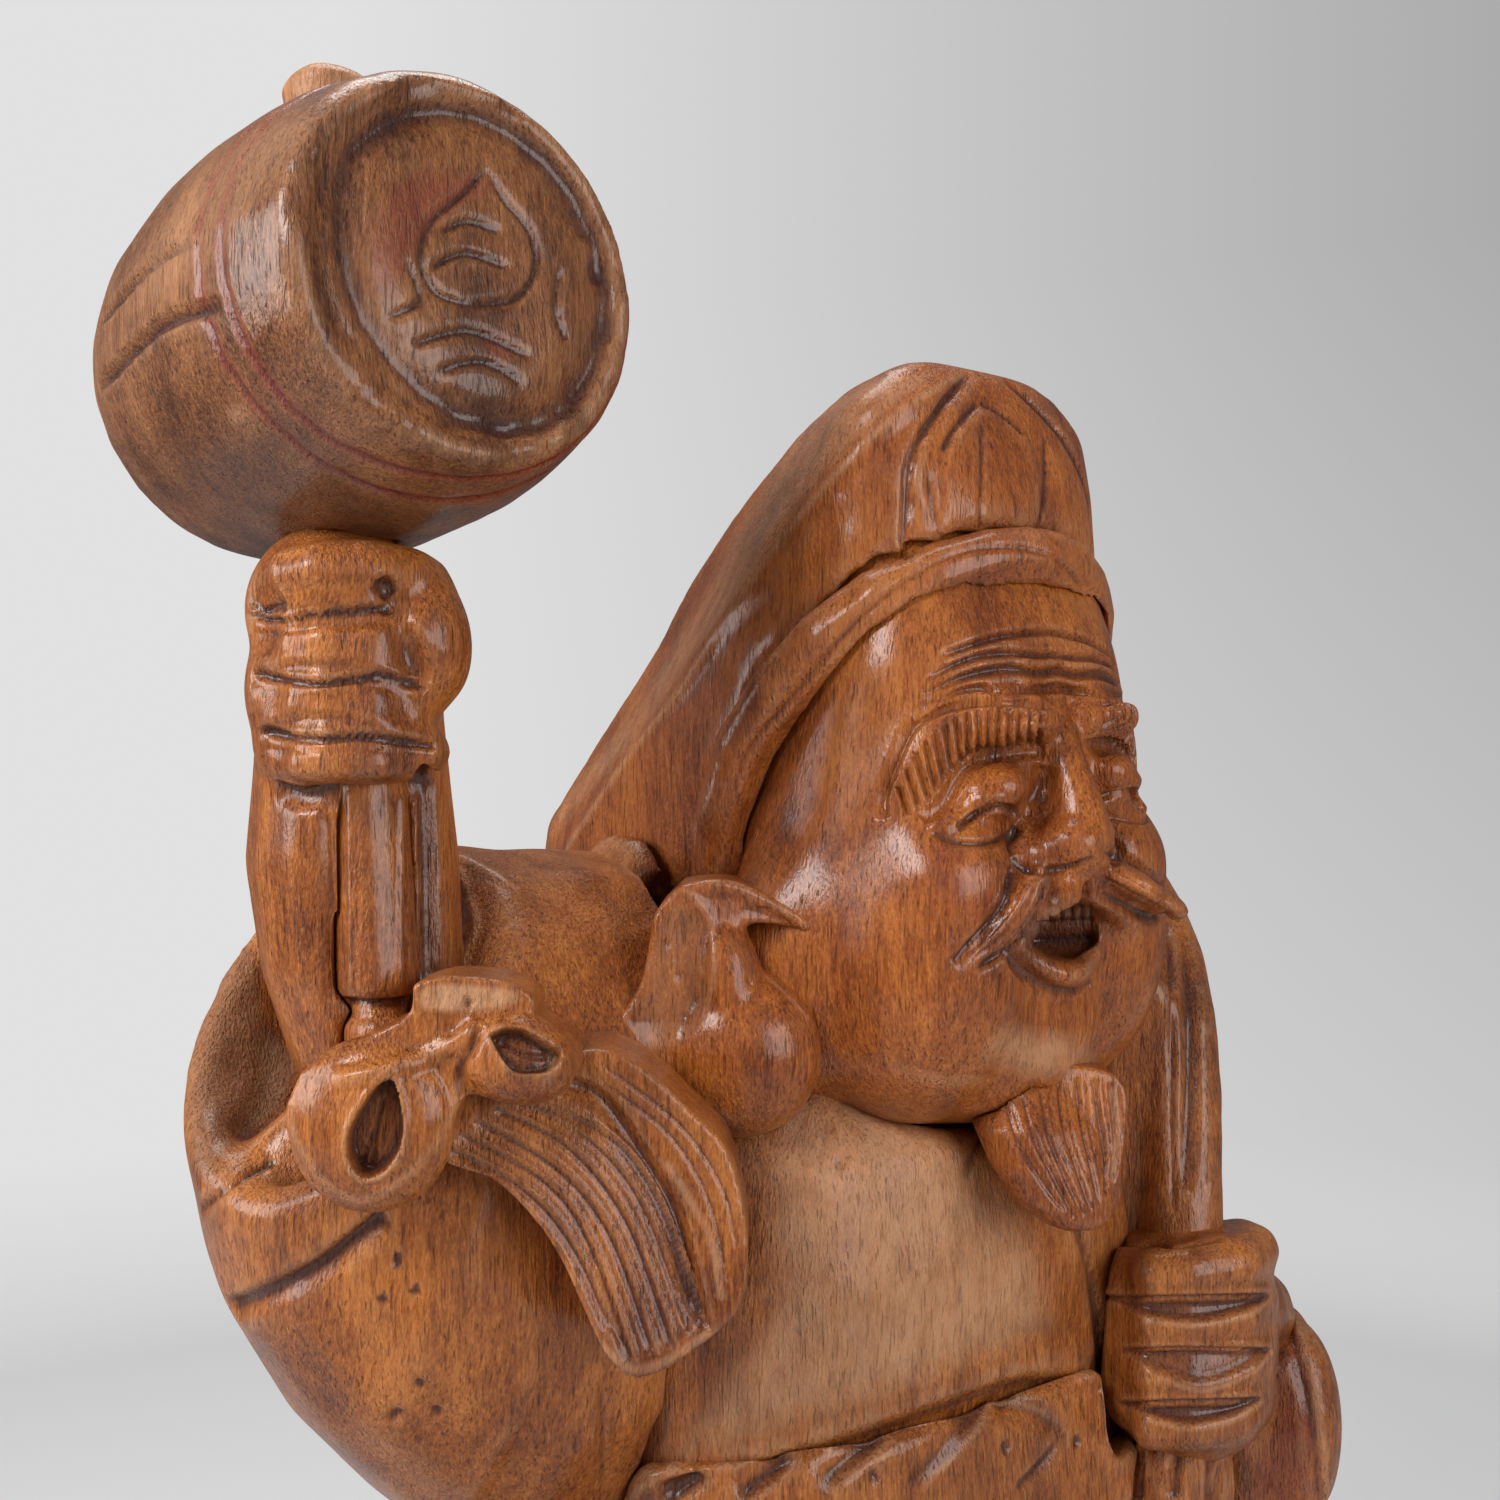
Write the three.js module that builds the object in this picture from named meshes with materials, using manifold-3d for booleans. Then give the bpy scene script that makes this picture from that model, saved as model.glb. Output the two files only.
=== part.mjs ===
// Carved wooden figure of the laughing god of plenty, on two rice bales.
// Millimetres, +Z up. The figure faces -Y, so its right hand is on the -X side.
// The origin is the middle of the flat underside of the base.
import * as THREE from 'three';
import { mergeVertices } from 'three/addons/utils/BufferGeometryUtils.js';
import Module from 'manifold-3d';

const wasm = await Module();
wasm.setup();

// Fits between carved blocks, and the dowels that hold them.
const CLEARANCE = 0.3;
const DOWEL_DIAMETER = 12;
const DOWEL_REACH = 14;
const PEG_DIAMETER = 7;
const PEG_REACH = 8;

// Facets finer than this are left out where blocks are cut to each other.
const FINEST_FACET = 0.1;

// From the ground to the top of the mallet's handle; the upright sizes are shares of it.
const FIGURE_HEIGHT = 640;

// Heights of the blocks that stack up from the ground.
const BASE_THICKNESS = FIGURE_HEIGHT * 0.028;
const BALE_HEIGHT = FIGURE_HEIGHT * 0.153;
const BOOT_HEIGHT = FIGURE_HEIGHT * 0.053;
const TROUSER_HEIGHT = FIGURE_HEIGHT * 0.1;
const SKIRT_HEIGHT = FIGURE_HEIGHT * 0.144;
const TORSO_HEIGHT = FIGURE_HEIGHT * 0.253;

// Base and rice bales.
const BASE_WIDTH = 268;
const BASE_DEPTH = 232;
const BALE_WIDTH = 116;
const BALE_LENGTH = 186;
const BALE_SPACING = 122;
const BALE_ROPE_THICKNESS = 7;
const BALE_ROPE_PITCH = 52;

// Boots, trousers and robe.
const BOOT_LENGTH = 104;
const BOOT_WIDTH = 48;
const STANCE = 92;
const TROUSER_WIDTH = 84;
const TROUSER_DEPTH = 92;
const SKIRT_HEM_WIDTH = 226;
const SKIRT_HEM_DEPTH = 158;
const WAIST_WIDTH = 192;
const WAIST_DEPTH = 122;
const CHEST_DEPTH = 120;
const SASH_HEIGHT = 42;
const SASH_THICKNESS = 5;
const SASH_RISE = 8;
const LAP_PROUD = 2.5;

// Head, measured from the underside of the chin.
const CHIN_DROP = FIGURE_HEIGHT * 0.119;
const FACE_WIDTH = 118;
const FACE_REACH = 78;
const HEAD_HEIGHT = FIGURE_HEIGHT * 0.25;
const HEAD_BACK = 22;
const NOSE_REACH = 15;
const NOSE_WIDTH = 30;
const BROW_THICKNESS = 13;
const MOUTH_WIDTH = 30;
const MOUTH_OPENING = 17;
const BEARD_LENGTH = 36;
const BEARD_WIDTH = 40;
const EAR_HEIGHT = FIGURE_HEIGHT * 0.116;
const EAR_DEPTH = 52;
const EAR_REACH = 22;
const EAR_LOBE_DIAMETER = 38;

// Cap: rolled band and tall crown that slopes back to the nape.
const BAND_THICKNESS = 17;
const CROWN_RISE = FIGURE_HEIGHT * 0.066;
const CROWN_WIDTH = 122;
const CROWN_BACK = 86;
const PLEAT_DEPTH = 1.6;

// Mallet.
const MALLET_LENGTH = 105;
const MALLET_DIAMETER = 96;
const MALLET_END_DIAMETER = 82;
const MALLET_RING_DIAMETER = 64;
const MALLET_GROOVE = 2.4;
const MALLET_TILT = 5;
const HANDLE_DIAMETER = 16;
const HANDLE_ABOVE = 12;
const HANDLE_LEAN = 0.9;
const HANDLE_LENGTH = FIGURE_HEIGHT * 0.344;
const HANDLE_BUTT = 10;
const HAND_SIDE = 164;
const MALLET_ABOVE_SHOULDER = FIGURE_HEIGHT * 0.179;

// Right arm and sleeve.
const FOREARM_WIDTH = 47;
const FIST_HEIGHT = 50;
const FOREARM_TENON = 28;
const FINGER_THICKNESS = 15.8;
const FINGER_PITCH = 12.5;
const FINGER_START = 196;
const FINGER_SWEEP = 124;
const SLEEVE_DROP = FIGURE_HEIGHT * 0.281;
const SLEEVE_DEPTH = 104;
const SLEEVE_MOUTH_DEPTH = 74;
const SLEEVE_WALL = 7;
const SLEEVE_HOLLOW = 26;

// Bow and tassel tied below the handle.
const BOW_LOOP_LENGTH = 37;
const BOW_CORD = 9;
const KNOT_DIAMETER = 23;
const TASSEL_LENGTH = 71;
const TASSEL_END_WIDTH = 36;
const TASSEL_END_SLANT = 7;
const TASSEL_THICKNESS = 15;
const TASSEL_STRANDS = 9;

// Left arm, and the sack it holds over the shoulder.
const LEFT_HAND_SIDE = 60;
const LEFT_HAND_HEIGHT = 55;
const LEFT_HAND_WIDTH = 52;
const LEFT_SLEEVE_REACH = 136;
const LEFT_SLEEVE_DROP = FIGURE_HEIGHT * 0.347;
const SACK_NECK_WIDTH = 25;
const SACK_NECK_DEPTH = 19;
const SACK_MOUTH_WIDTH = 44;
const SACK_MOUTH_STAND = 73;
const SACK_WIDTH = 124;
const SACK_DEPTH = 84;
const SACK_HEIGHT = FIGURE_HEIGHT * 0.275;

// Levels worked out from the heights above.
const baleTop = BASE_THICKNESS + BALE_HEIGHT;
const bootTop = baleTop + BOOT_HEIGHT;
const skirtBottom = bootTop + TROUSER_HEIGHT;
const waist = skirtBottom + SKIRT_HEIGHT;
const shoulder = waist + TORSO_HEIGHT;
const chin = shoulder - CHIN_DROP;

const wood = {
  mid: { color: '#a5592c', roughness: 0.42 },
  warm: { color: '#b0622f', roughness: 0.4 },
  dark: { color: '#8a4324', roughness: 0.48 },
  pale: { color: '#c08a55', roughness: 0.5 },
};

const vec = (x, y, z) => new THREE.Vector3(x, y, z);

// A closed three.js geometry as a solid that can be cut and joined.
function solid(geometry) {
  geometry.deleteAttribute('normal');
  geometry.deleteAttribute('uv');
  const merged = mergeVertices(geometry, 1e-4);
  const vertProperties = new Float32Array(merged.attributes.position.array);
  const triVerts = new Uint32Array(merged.index.array);
  return new wasm.Manifold(new wasm.Mesh({ numProp: 3, vertProperties, triVerts, tolerance: FINEST_FACET }));
}

function toGeometry(body) {
  const { vertProperties, triVerts } = body.getMesh();
  const geometry = new THREE.BufferGeometry();
  geometry.setAttribute('position', new THREE.BufferAttribute(new Float32Array(vertProperties), 3));
  geometry.setIndex(new THREE.BufferAttribute(new Uint32Array(triVerts), 1));
  return geometry;
}

// The same solid with every face moved out by the fit between two blocks.
function grown(body, gap = CLEARANCE) {
  const geometry = toGeometry(body);
  const position = geometry.attributes.position;
  const index = geometry.index.array;
  const faceNormals = [];
  const average = Array.from({ length: position.count }, () => vec(0, 0, 0));
  const corner = (i) => new THREE.Vector3().fromBufferAttribute(position, i);
  for (let f = 0; f < index.length; f += 3) {
    const [a, b, c] = [corner(index[f]), corner(index[f + 1]), corner(index[f + 2])];
    const normal = b.clone().sub(a).cross(c.clone().sub(a));
    const unit = normal.clone().normalize();
    faceNormals.push(unit);
    [a, b, c].forEach((p, k) => {
      const next = [b, c, a][k].clone().sub(p);
      const last = [c, a, b][k].clone().sub(p);
      average[index[f + k]].addScaledVector(unit, next.angleTo(last));
    });
  }
  const tightest = new Float32Array(position.count).fill(1);
  average.forEach((n) => n.normalize());
  for (let f = 0; f < index.length; f += 1) {
    const facing = average[index[f]].dot(faceNormals[Math.floor(f / 3)]);
    tightest[index[f]] = Math.min(tightest[index[f]], facing);
  }
  for (let i = 0; i < position.count; i += 1) {
    const step = gap / Math.max(tightest[i], 0.5);
    const moved = corner(i).addScaledVector(average[i], step);
    position.setXYZ(i, moved.x, moved.y, moved.z);
  }
  return solid(geometry);
}

function cut(body, ...others) {
  return others.reduce((rest, other) => rest.subtract(other), body);
}

function join(first, ...others) {
  return others.reduce((sum, other) => sum.add(other), first);
}

// What a carver keeps after a cut: the largest body, without the chips that the cut frees.
function mainBody(body) {
  const { vertProperties, triVerts } = body.getMesh();
  const owner = Array.from({ length: vertProperties.length / 3 }, (_, i) => i);
  const find = (i) => {
    let root = i;
    while (owner[root] !== root) {
      owner[root] = owner[owner[root]];
      root = owner[root];
    }
    return root;
  };
  for (let t = 0; t < triVerts.length; t += 3) {
    owner[find(triVerts[t])] = find(triVerts[t + 1]);
    owner[find(triVerts[t + 1])] = find(triVerts[t + 2]);
  }
  const bodies = new Map();
  for (let t = 0; t < triVerts.length; t += 3) {
    const root = find(triVerts[t]);
    if (!bodies.has(root)) bodies.set(root, { triangles: [], volume: 0 });
    const entry = bodies.get(root);
    const corner = (k) => new THREE.Vector3().fromArray(vertProperties, triVerts[t + k] * 3);
    const [a, b, c] = [corner(0), corner(1), corner(2)];
    entry.triangles.push(triVerts[t], triVerts[t + 1], triVerts[t + 2]);
    entry.volume += a.dot(b.cross(c)) / 6;
  }
  const largest = [...bodies.values()].sort((a, b) => b.volume - a.volume)[0];
  const geometry = new THREE.BufferGeometry();
  geometry.setAttribute('position', new THREE.BufferAttribute(new Float32Array(vertProperties), 3));
  geometry.setIndex(largest.triangles);
  const loose = geometry.toNonIndexed();
  return solid(loose);
}

// A closed oval of points: centre, two half axes, and how square it is (2 is an ellipse).
function oval(centre, u, v, power = 2, count = 24) {
  const points = [];
  for (let i = 0; i < count; i += 1) {
    const angle = (i / count) * 2 * Math.PI;
    const [c, s] = [Math.cos(angle), Math.sin(angle)];
    const along = Math.sign(c) * Math.abs(c) ** (2 / power);
    const across = Math.sign(s) * Math.abs(s) ** (2 / power);
    points.push(centre.clone().addScaledVector(u, along).addScaledVector(v, across));
  }
  return points;
}

// A closed body through a row of ovals, with flat or slightly domed ends.
function loft(rings, dome = 0) {
  const count = rings[0].length;
  const positions = rings.flat().flatMap((p) => [p.x, p.y, p.z]);
  const index = [];
  for (let r = 0; r + 1 < rings.length; r += 1) {
    for (let i = 0; i < count; i += 1) {
      const a = r * count + i;
      const b = r * count + ((i + 1) % count);
      index.push(a, b, b + count, a, b + count, a + count);
    }
  }
  const middle = (ring) => ring.reduce((sum, p) => sum.add(p), vec(0, 0, 0)).divideScalar(count);
  const ends = [[0, 1], [rings.length - 1, rings.length - 2]];
  ends.forEach(([at, inner], side) => {
    const centre = middle(rings[at]);
    const outward = centre.clone().sub(middle(rings[inner])).normalize();
    const tip = centre.addScaledVector(outward, dome);
    const apex = positions.length / 3;
    positions.push(tip.x, tip.y, tip.z);
    for (let i = 0; i < count; i += 1) {
      const a = at * count + i;
      const b = at * count + ((i + 1) % count);
      index.push(...(side === 0 ? [apex, b, a] : [apex, a, b]));
    }
  });
  const geometry = new THREE.BufferGeometry();
  geometry.setAttribute('position', new THREE.Float32BufferAttribute(positions, 3));
  geometry.setIndex(index);
  const body = solid(geometry);
  if (body.volume() > 0) return body;
  const flipped = [];
  for (let t = 0; t < index.length; t += 3) flipped.push(index[t], index[t + 2], index[t + 1]);
  const turned = new THREE.BufferGeometry();
  turned.setAttribute('position', new THREE.Float32BufferAttribute(positions, 3));
  turned.setIndex(flipped);
  return solid(turned);
}

// Level ovals stacked upwards. A row is height, middle x, middle y, width, depth.
function stack(rows, power = 2, count = 24, dome = 0) {
  const rings = rows.map(([z, x, y, width, depth]) =>
    oval(vec(x, y, z), vec(width / 2, 0, 0), vec(0, depth / 2, 0), power, count));
  return loft(rings, dome);
}

// A round or flattened bar along a smooth path, thick or thin by place along it.
function bar(points, thickness, { steps = 10, sides = 10, flat = 1, up = vec(0, 0, 1) } = {}) {
  const curve = new THREE.CatmullRomCurve3(points, false, 'centripetal');
  const sizes = new THREE.SplineCurve(thickness.map((t, i) => new THREE.Vector2(i, t)));
  const rings = [];
  for (let i = 0; i <= steps; i += 1) {
    const t = i / steps;
    const tangent = curve.getTangent(t);
    const side = tangent.clone().cross(up).normalize();
    const lift = side.clone().cross(tangent).normalize();
    const radius = Math.max(sizes.getPoint(t).y, 0.4) / 2;
    const centre = curve.getPoint(t);
    rings.push(oval(centre, side.multiplyScalar(radius), lift.multiplyScalar(radius * flat), 2, sides));
  }
  const end = thickness[thickness.length - 1];
  return loft(rings, Math.min(thickness[0], end) / 5);
}

function egg(centre, width, depth, height, segments = 16) {
  const geometry = new THREE.SphereGeometry(0.5, segments, Math.round(segments * 0.6));
  geometry.rotateX(Math.PI / 2);
  geometry.scale(width, depth, height);
  geometry.translate(centre.x, centre.y, centre.z);
  return solid(geometry);
}

function cylinder(from, to, diameter, sides = 16) {
  const length = from.distanceTo(to);
  const geometry = new THREE.CylinderGeometry(diameter / 2, diameter / 2, length, sides);
  const direction = to.clone().sub(from).normalize();
  geometry.applyQuaternion(new THREE.Quaternion().setFromUnitVectors(vec(0, 1, 0), direction));
  const middle = from.clone().lerp(to, 0.5);
  geometry.translate(middle.x, middle.y, middle.z);
  return solid(geometry);
}

// Every oval of a mirrored piece swaps sides, so its faces are turned round again.
function mirrored(body) {
  const geometry = toGeometry(body);
  const position = geometry.attributes.position;
  for (let i = 0; i < position.count; i += 1) position.setX(i, -position.getX(i));
  const index = geometry.index.array;
  for (let t = 0; t < index.length; t += 3) {
    [index[t + 1], index[t + 2]] = [index[t + 2], index[t + 1]];
  }
  return solid(geometry);
}

const group = new THREE.Group();

function place(name, body, finish) {
  const geometry = toGeometry(body);
  geometry.computeVertexNormals();
  const material = new THREE.MeshStandardMaterial({ ...finish, metalness: 0 });
  const mesh = new THREE.Mesh(geometry, material);
  mesh.name = name;
  group.add(mesh);
  return mesh;
}

// A dowel and the hole that both of its blocks get.
function dowel(from, direction, reach, diameter) {
  const step = direction.clone().normalize();
  const start = from.clone().addScaledVector(step, -reach);
  const end = from.clone().addScaledVector(step, reach);
  const pin = cylinder(start, end, diameter, 6);
  return { pin, hole: grown(pin, CLEARANCE) };
}

function makeBase() {
  const edge = 4;
  const rows = [
    [0, 0, 0, BASE_WIDTH, BASE_DEPTH],
    [BASE_THICKNESS - edge, 0, 0, BASE_WIDTH, BASE_DEPTH],
    [BASE_THICKNESS, 0, 0, BASE_WIDTH - 2 * edge, BASE_DEPTH - 2 * edge],
  ];
  return stack(rows, 3.2, 28);
}

// A straw bale lies along Y with a rope round it in three places and a dished round lid at each end.
function makeBale(side) {
  const middle = vec(side * BALE_SPACING / 2, 0, BASE_THICKNESS + CLEARANCE + BALE_HEIGHT / 2);
  const at = (y, share) => oval(
    vec(middle.x, y, middle.z),
    vec(BALE_WIDTH / 2 * share, 0, 0),
    vec(0, 0, BALE_HEIGHT / 2 * share),
    2.6,
    14,
  );
  const half = BALE_LENGTH / 2;
  const lid = 7;
  const rim = 0.97 - BALE_ROPE_THICKNESS / BALE_WIDTH;
  const rings = [at(-half + lid, rim * 0.6), at(-half, rim * 0.75), at(-half, rim * 0.9)];
  rings.push(at(-half + lid, rim));
  for (const k of [-1, 0, 1]) {
    const y = k * BALE_ROPE_PITCH;
    const reach = BALE_ROPE_THICKNESS;
    rings.push(at(y - reach, rim * 0.97), at(y - reach / 2, 1));
    rings.push(at(y + reach / 2, 1), at(y + reach, rim * 0.97));
  }
  rings.push(at(half - lid, rim), at(half, rim * 0.9), at(half, rim * 0.75), at(half - lid, rim * 0.6));
  return loft(rings);
}

function makeBoot(side) {
  const x = side * STANCE / 2;
  const heel = 26;
  const toe = heel - BOOT_LENGTH;
  const z = baleTop + 2 * CLEARANCE;
  const row = (y, width, height, lift) => {
    const middle = vec(x, y, z + lift + height / 2);
    return oval(middle, vec(width / 2, 0, 0), vec(0, 0, height / 2), 2.7, 16);
  };
  const tall = BOOT_HEIGHT;
  return loft([
    row(heel, BOOT_WIDTH * 0.6, tall * 0.8, tall * 0.1),
    row(heel - 5, BOOT_WIDTH * 0.85, tall - CLEARANCE, 0),
    row(heel - 40, BOOT_WIDTH * 0.95, tall - CLEARANCE, 0),
    row(heel - 62, BOOT_WIDTH, tall * 0.82, 0),
    row(toe + 18, BOOT_WIDTH * 0.92, tall * 0.62, 0),
    row(toe + 5, BOOT_WIDTH * 0.66, tall * 0.5, 1),
    row(toe, BOOT_WIDTH * 0.3, tall * 0.3, 5),
  ]);
}

// Wide trousers, drawn in above the boots.
function makeTrousers() {
  const top = skirtBottom + SKIRT_HEIGHT * 0.3;
  const low = bootTop + CLEARANCE;
  const leg = (side) => stack([
    [low, side * STANCE / 2, -4, TROUSER_WIDTH * 0.62, TROUSER_DEPTH * 0.62],
    [low + 6, side * STANCE / 2, -4, TROUSER_WIDTH * 0.78, TROUSER_DEPTH * 0.78],
    [low + 18, side * STANCE / 2, -4, TROUSER_WIDTH, TROUSER_DEPTH],
    [low + 40, side * STANCE / 2, -3, TROUSER_WIDTH * 1.04, TROUSER_DEPTH * 1.04],
    [low + TROUSER_HEIGHT, side * STANCE / 2 * 0.9, 0, TROUSER_WIDTH, TROUSER_DEPTH],
    [top, side * STANCE / 2 * 0.8, 0, TROUSER_WIDTH * 0.9, TROUSER_DEPTH * 0.9],
  ], 2.4, 16);
  return join(leg(-1), leg(1));
}

// The flare of the robe below the waist, with every side moved out by the given amount.
function skirtFlare(proud) {
  const wide = 2 * proud;
  return stack([
    [skirtBottom, 0, -2, SKIRT_HEM_WIDTH + wide, SKIRT_HEM_DEPTH + wide],
    [skirtBottom + SKIRT_HEIGHT * 0.45, 0, -2, SKIRT_HEM_WIDTH * 0.94 + wide, SKIRT_HEM_DEPTH * 0.94 + wide],
    [waist - SASH_HEIGHT, 0, 0, WAIST_WIDTH + 8 + wide, WAIST_DEPTH + 10 + wide],
    [waist, 0, 0, WAIST_WIDTH, WAIST_DEPTH],
  ], 2.5, 18);
}

// The right side of the skirt laps over the left, as a slanting strip that stands proud.
function makeSkirt() {
  const lapWidth = 26;
  const lap = new THREE.Shape();
  lap.moveTo(-14, waist + lapWidth);
  lap.lineTo(12, waist + lapWidth);
  lap.lineTo(40 + lapWidth, skirtBottom - lapWidth);
  lap.lineTo(40, skirtBottom - lapWidth);
  lap.closePath();
  const geometry = new THREE.ExtrudeGeometry(lap, { depth: SKIRT_HEM_DEPTH, bevelEnabled: false });
  geometry.rotateX(Math.PI / 2);
  return join(skirtFlare(0), skirtFlare(LAP_PROUD).intersect(solid(geometry)));
}

// Chest and belly, with the robe's shoulders.
function makeTorso() {
  const rows = [
    [0, 1, 0.98, 0.98], [0.12, 1.01, 1.06, 1.02], [0.3, 1, 1.1, 1.03], [0.5, 0.96, 1.02, 1.03],
    [0.6, 0.95, 0.84, 1.02], [0.7, 0.93, 0.61, 1], [0.8, 0.88, 0.35, 0.97], [0.9, 0.82, 0.13, 0.92],
    [1, 0.7, -0.06, 0.8],
  ];
  const half = CHEST_DEPTH / 2;
  return stack(rows.map(([share, wide, front, back]) => [
    waist + CLEARANCE + (TORSO_HEIGHT - CLEARANCE) * share,
    0,
    half * (back - front) / 2,
    WAIST_WIDTH * wide,
    half * (back + front),
  ]), 2.7, 18);
}

// The sash wraps the waist, over the seam between torso and skirt, and rides up over the belly.
function makeSash() {
  const low = waist - SASH_HEIGHT * 0.78;
  const top = low + SASH_HEIGHT;
  const lip = 3;
  const around = (z, thick) => oval(
    vec(0, -1, z),
    vec(WAIST_WIDTH / 2 + LAP_PROUD + thick, 0, 0),
    vec(0, WAIST_DEPTH / 2 + 4 + thick, -SASH_RISE),
    2.6,
    18,
  );
  return loft([
    around(low, SASH_THICKNESS),
    around(low + lip, SASH_THICKNESS + 3),
    around(top - lip, SASH_THICKNESS),
    around(top, SASH_THICKNESS * 0.4),
  ]);
}

function faceFront(z) {
  const share = (z - chin) / HEAD_HEIGHT;
  const chinIn = 14 * Math.max(0, 1 - share / 0.12) ** 2;
  const browIn = 20 * Math.max(0, (share - 0.72) / 0.28) ** 2;
  return -FACE_REACH + chinIn + browIn;
}

// The plain head block, which the neighbouring blocks are fitted to.
function makeSkull() {
  const widths = [0.44, 0.7, 0.92, 1.01, 1.02, 0.93, 0.87, 0.76, 0.66];
  const levels = [0, 0.05, 0.16, 0.32, 0.48, 0.62, 0.76, 0.9, 1];
  const rows = levels.map((share, i) => {
    const z = chin + HEAD_HEIGHT * share;
    const front = faceFront(z) + (share === 0 ? 8 : 0);
    const back = HEAD_BACK - 10 * (1 - share) - 44 * Math.max(0, share - 0.6) / 0.4;
    return [z, 0, (front + back) / 2, FACE_WIDTH * widths[i], back - front];
  });
  return stack(rows, 2.5, 18, 2);
}

const chinBall = () => egg(vec(0, -FACE_REACH + 15, chin + 22), 46, 34, 34, 8);

// Head with round cheeks, laughing mouth, and the brows and nose that stand out from it.
function makeHead() {
  const mouth = chin + HEAD_HEIGHT * 0.345;
  const noseTip = chin + HEAD_HEIGHT * 0.475;
  const eye = chin + HEAD_HEIGHT * 0.575;
  const brow = chin + HEAD_HEIGHT * 0.7;
  const pair = (make) => [make(-1), make(1)];
  const cheeks = pair((s) => egg(vec(s * 28, -FACE_REACH + 21, noseTip - 8), 50, 48, 51, 10));
  const bridge = bar(
    [vec(0, -FACE_REACH + 6, brow - 2), vec(0, -FACE_REACH - 3, eye), vec(0, -FACE_REACH - 7, noseTip)],
    [NOSE_WIDTH * 0.42, NOSE_WIDTH * 0.4, NOSE_WIDTH * 0.6],
    { steps: 4, sides: 8, up: vec(0, 1, 0) },
  );
  const noseEnd = egg(vec(0, -FACE_REACH - NOSE_REACH + 10, noseTip - 2), NOSE_WIDTH * 0.7, 20, 17, 10);
  const wings = pair((s) => egg(
    vec(s * NOSE_WIDTH * 0.36, -FACE_REACH, noseTip - 4),
    NOSE_WIDTH * 0.42,
    17,
    13,
    8,
  ));
  const brows = pair((s) => bar(
    [vec(s * 6, -FACE_REACH, brow - 6), vec(s * 19, -FACE_REACH + 1, brow - 3),
      vec(s * 32, -FACE_REACH + 6, brow - 8), vec(s * 41, -FACE_REACH + 11, brow - 18),
      vec(s * 46, -FACE_REACH + 15, brow - 28)],
    [BROW_THICKNESS * 0.9, BROW_THICKNESS, BROW_THICKNESS, BROW_THICKNESS * 0.95, BROW_THICKNESS * 0.7],
    { steps: 7, sides: 6 },
  ));
  const eyes = pair((s) => egg(vec(s * 24, -FACE_REACH + 7, eye - 5), 27, 18, 16, 9));
  const moustache = pair((s) => bar(
    [vec(s * 2, -FACE_REACH - 6, noseTip - 12), vec(s * 14, -FACE_REACH - 5, noseTip - 15),
      vec(s * 25, -FACE_REACH - 2, noseTip - 24), vec(s * 31, -FACE_REACH + 4, noseTip - 35)],
    [8, 11, 9, 3],
    { steps: 5, sides: 6 },
  ));
  const corner = MOUTH_WIDTH / 2;
  const sag = MOUTH_OPENING * 0.62;
  const lip = bar(
    [vec(-corner, -FACE_REACH + 3, mouth + 1), vec(-corner * 0.6, -FACE_REACH, mouth - sag),
      vec(0, -FACE_REACH - 2, mouth - sag - 3),
      vec(corner * 0.6, -FACE_REACH, mouth - sag), vec(corner, -FACE_REACH + 3, mouth + 1)],
    [6, 8, 9, 8, 6],
    { steps: 8, sides: 6 },
  );
  const opening = egg(vec(0, -FACE_REACH - 4, mouth - 1), MOUTH_WIDTH, 34, MOUTH_OPENING, 10);
  const teeth = egg(vec(0, -FACE_REACH + 7, mouth + MOUTH_OPENING * 0.42), MOUTH_WIDTH * 0.72, 22, 10, 8);
  const whole = join(makeSkull(), ...cheeks, bridge, noseEnd, ...wings, ...brows, ...eyes, chinBall(), lip);
  return join(cut(whole, opening), ...moustache, teeth);
}

const bandPath = () => {
  const top = chin + HEAD_HEIGHT;
  const half = FACE_WIDTH / 2;
  const side = [
    [half + 1, -14, top - 94], [half + 2, -21, top - 66], [half - 4, -36, top - 43],
    [half - 16, -51, top - 26], [half - 37, -63, top - 15],
  ];
  const right = side.map(([x, y, z]) => vec(-x, y, z));
  const left = side.map(([x, y, z]) => vec(x, y, z)).reverse();
  return [...right, vec(0, -69, top - 11), ...left];
};

// The rolled rim runs from ear to ear over the forehead.
function makeBand() {
  const full = BAND_THICKNESS;
  return bar(bandPath(), [full * 0.9, full, full, full * 0.92, full, full, full * 0.9], {
    steps: 16,
    sides: 8,
    up: vec(0, 1, 0),
  });
}

// One level of the crown, from the middle of the front round both sides.
function crownRing(z, front, half, ridge, facetHalf, back) {
  const arc = 6;
  const right = [];
  for (let i = 1; i <= arc; i += 1) {
    const angle = (i / arc) * Math.PI / 2;
    right.push([half * Math.sin(angle) ** 0.8, ridge + (front - ridge) * Math.cos(angle) ** 0.8]);
  }
  right.push([facetHalf, back]);
  const left = right.map(([x, y]) => [-x, y]).reverse();
  return [[0, front], ...right, [0, back + 2], ...left].map(([x, y]) => vec(x, y, z));
}

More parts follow.
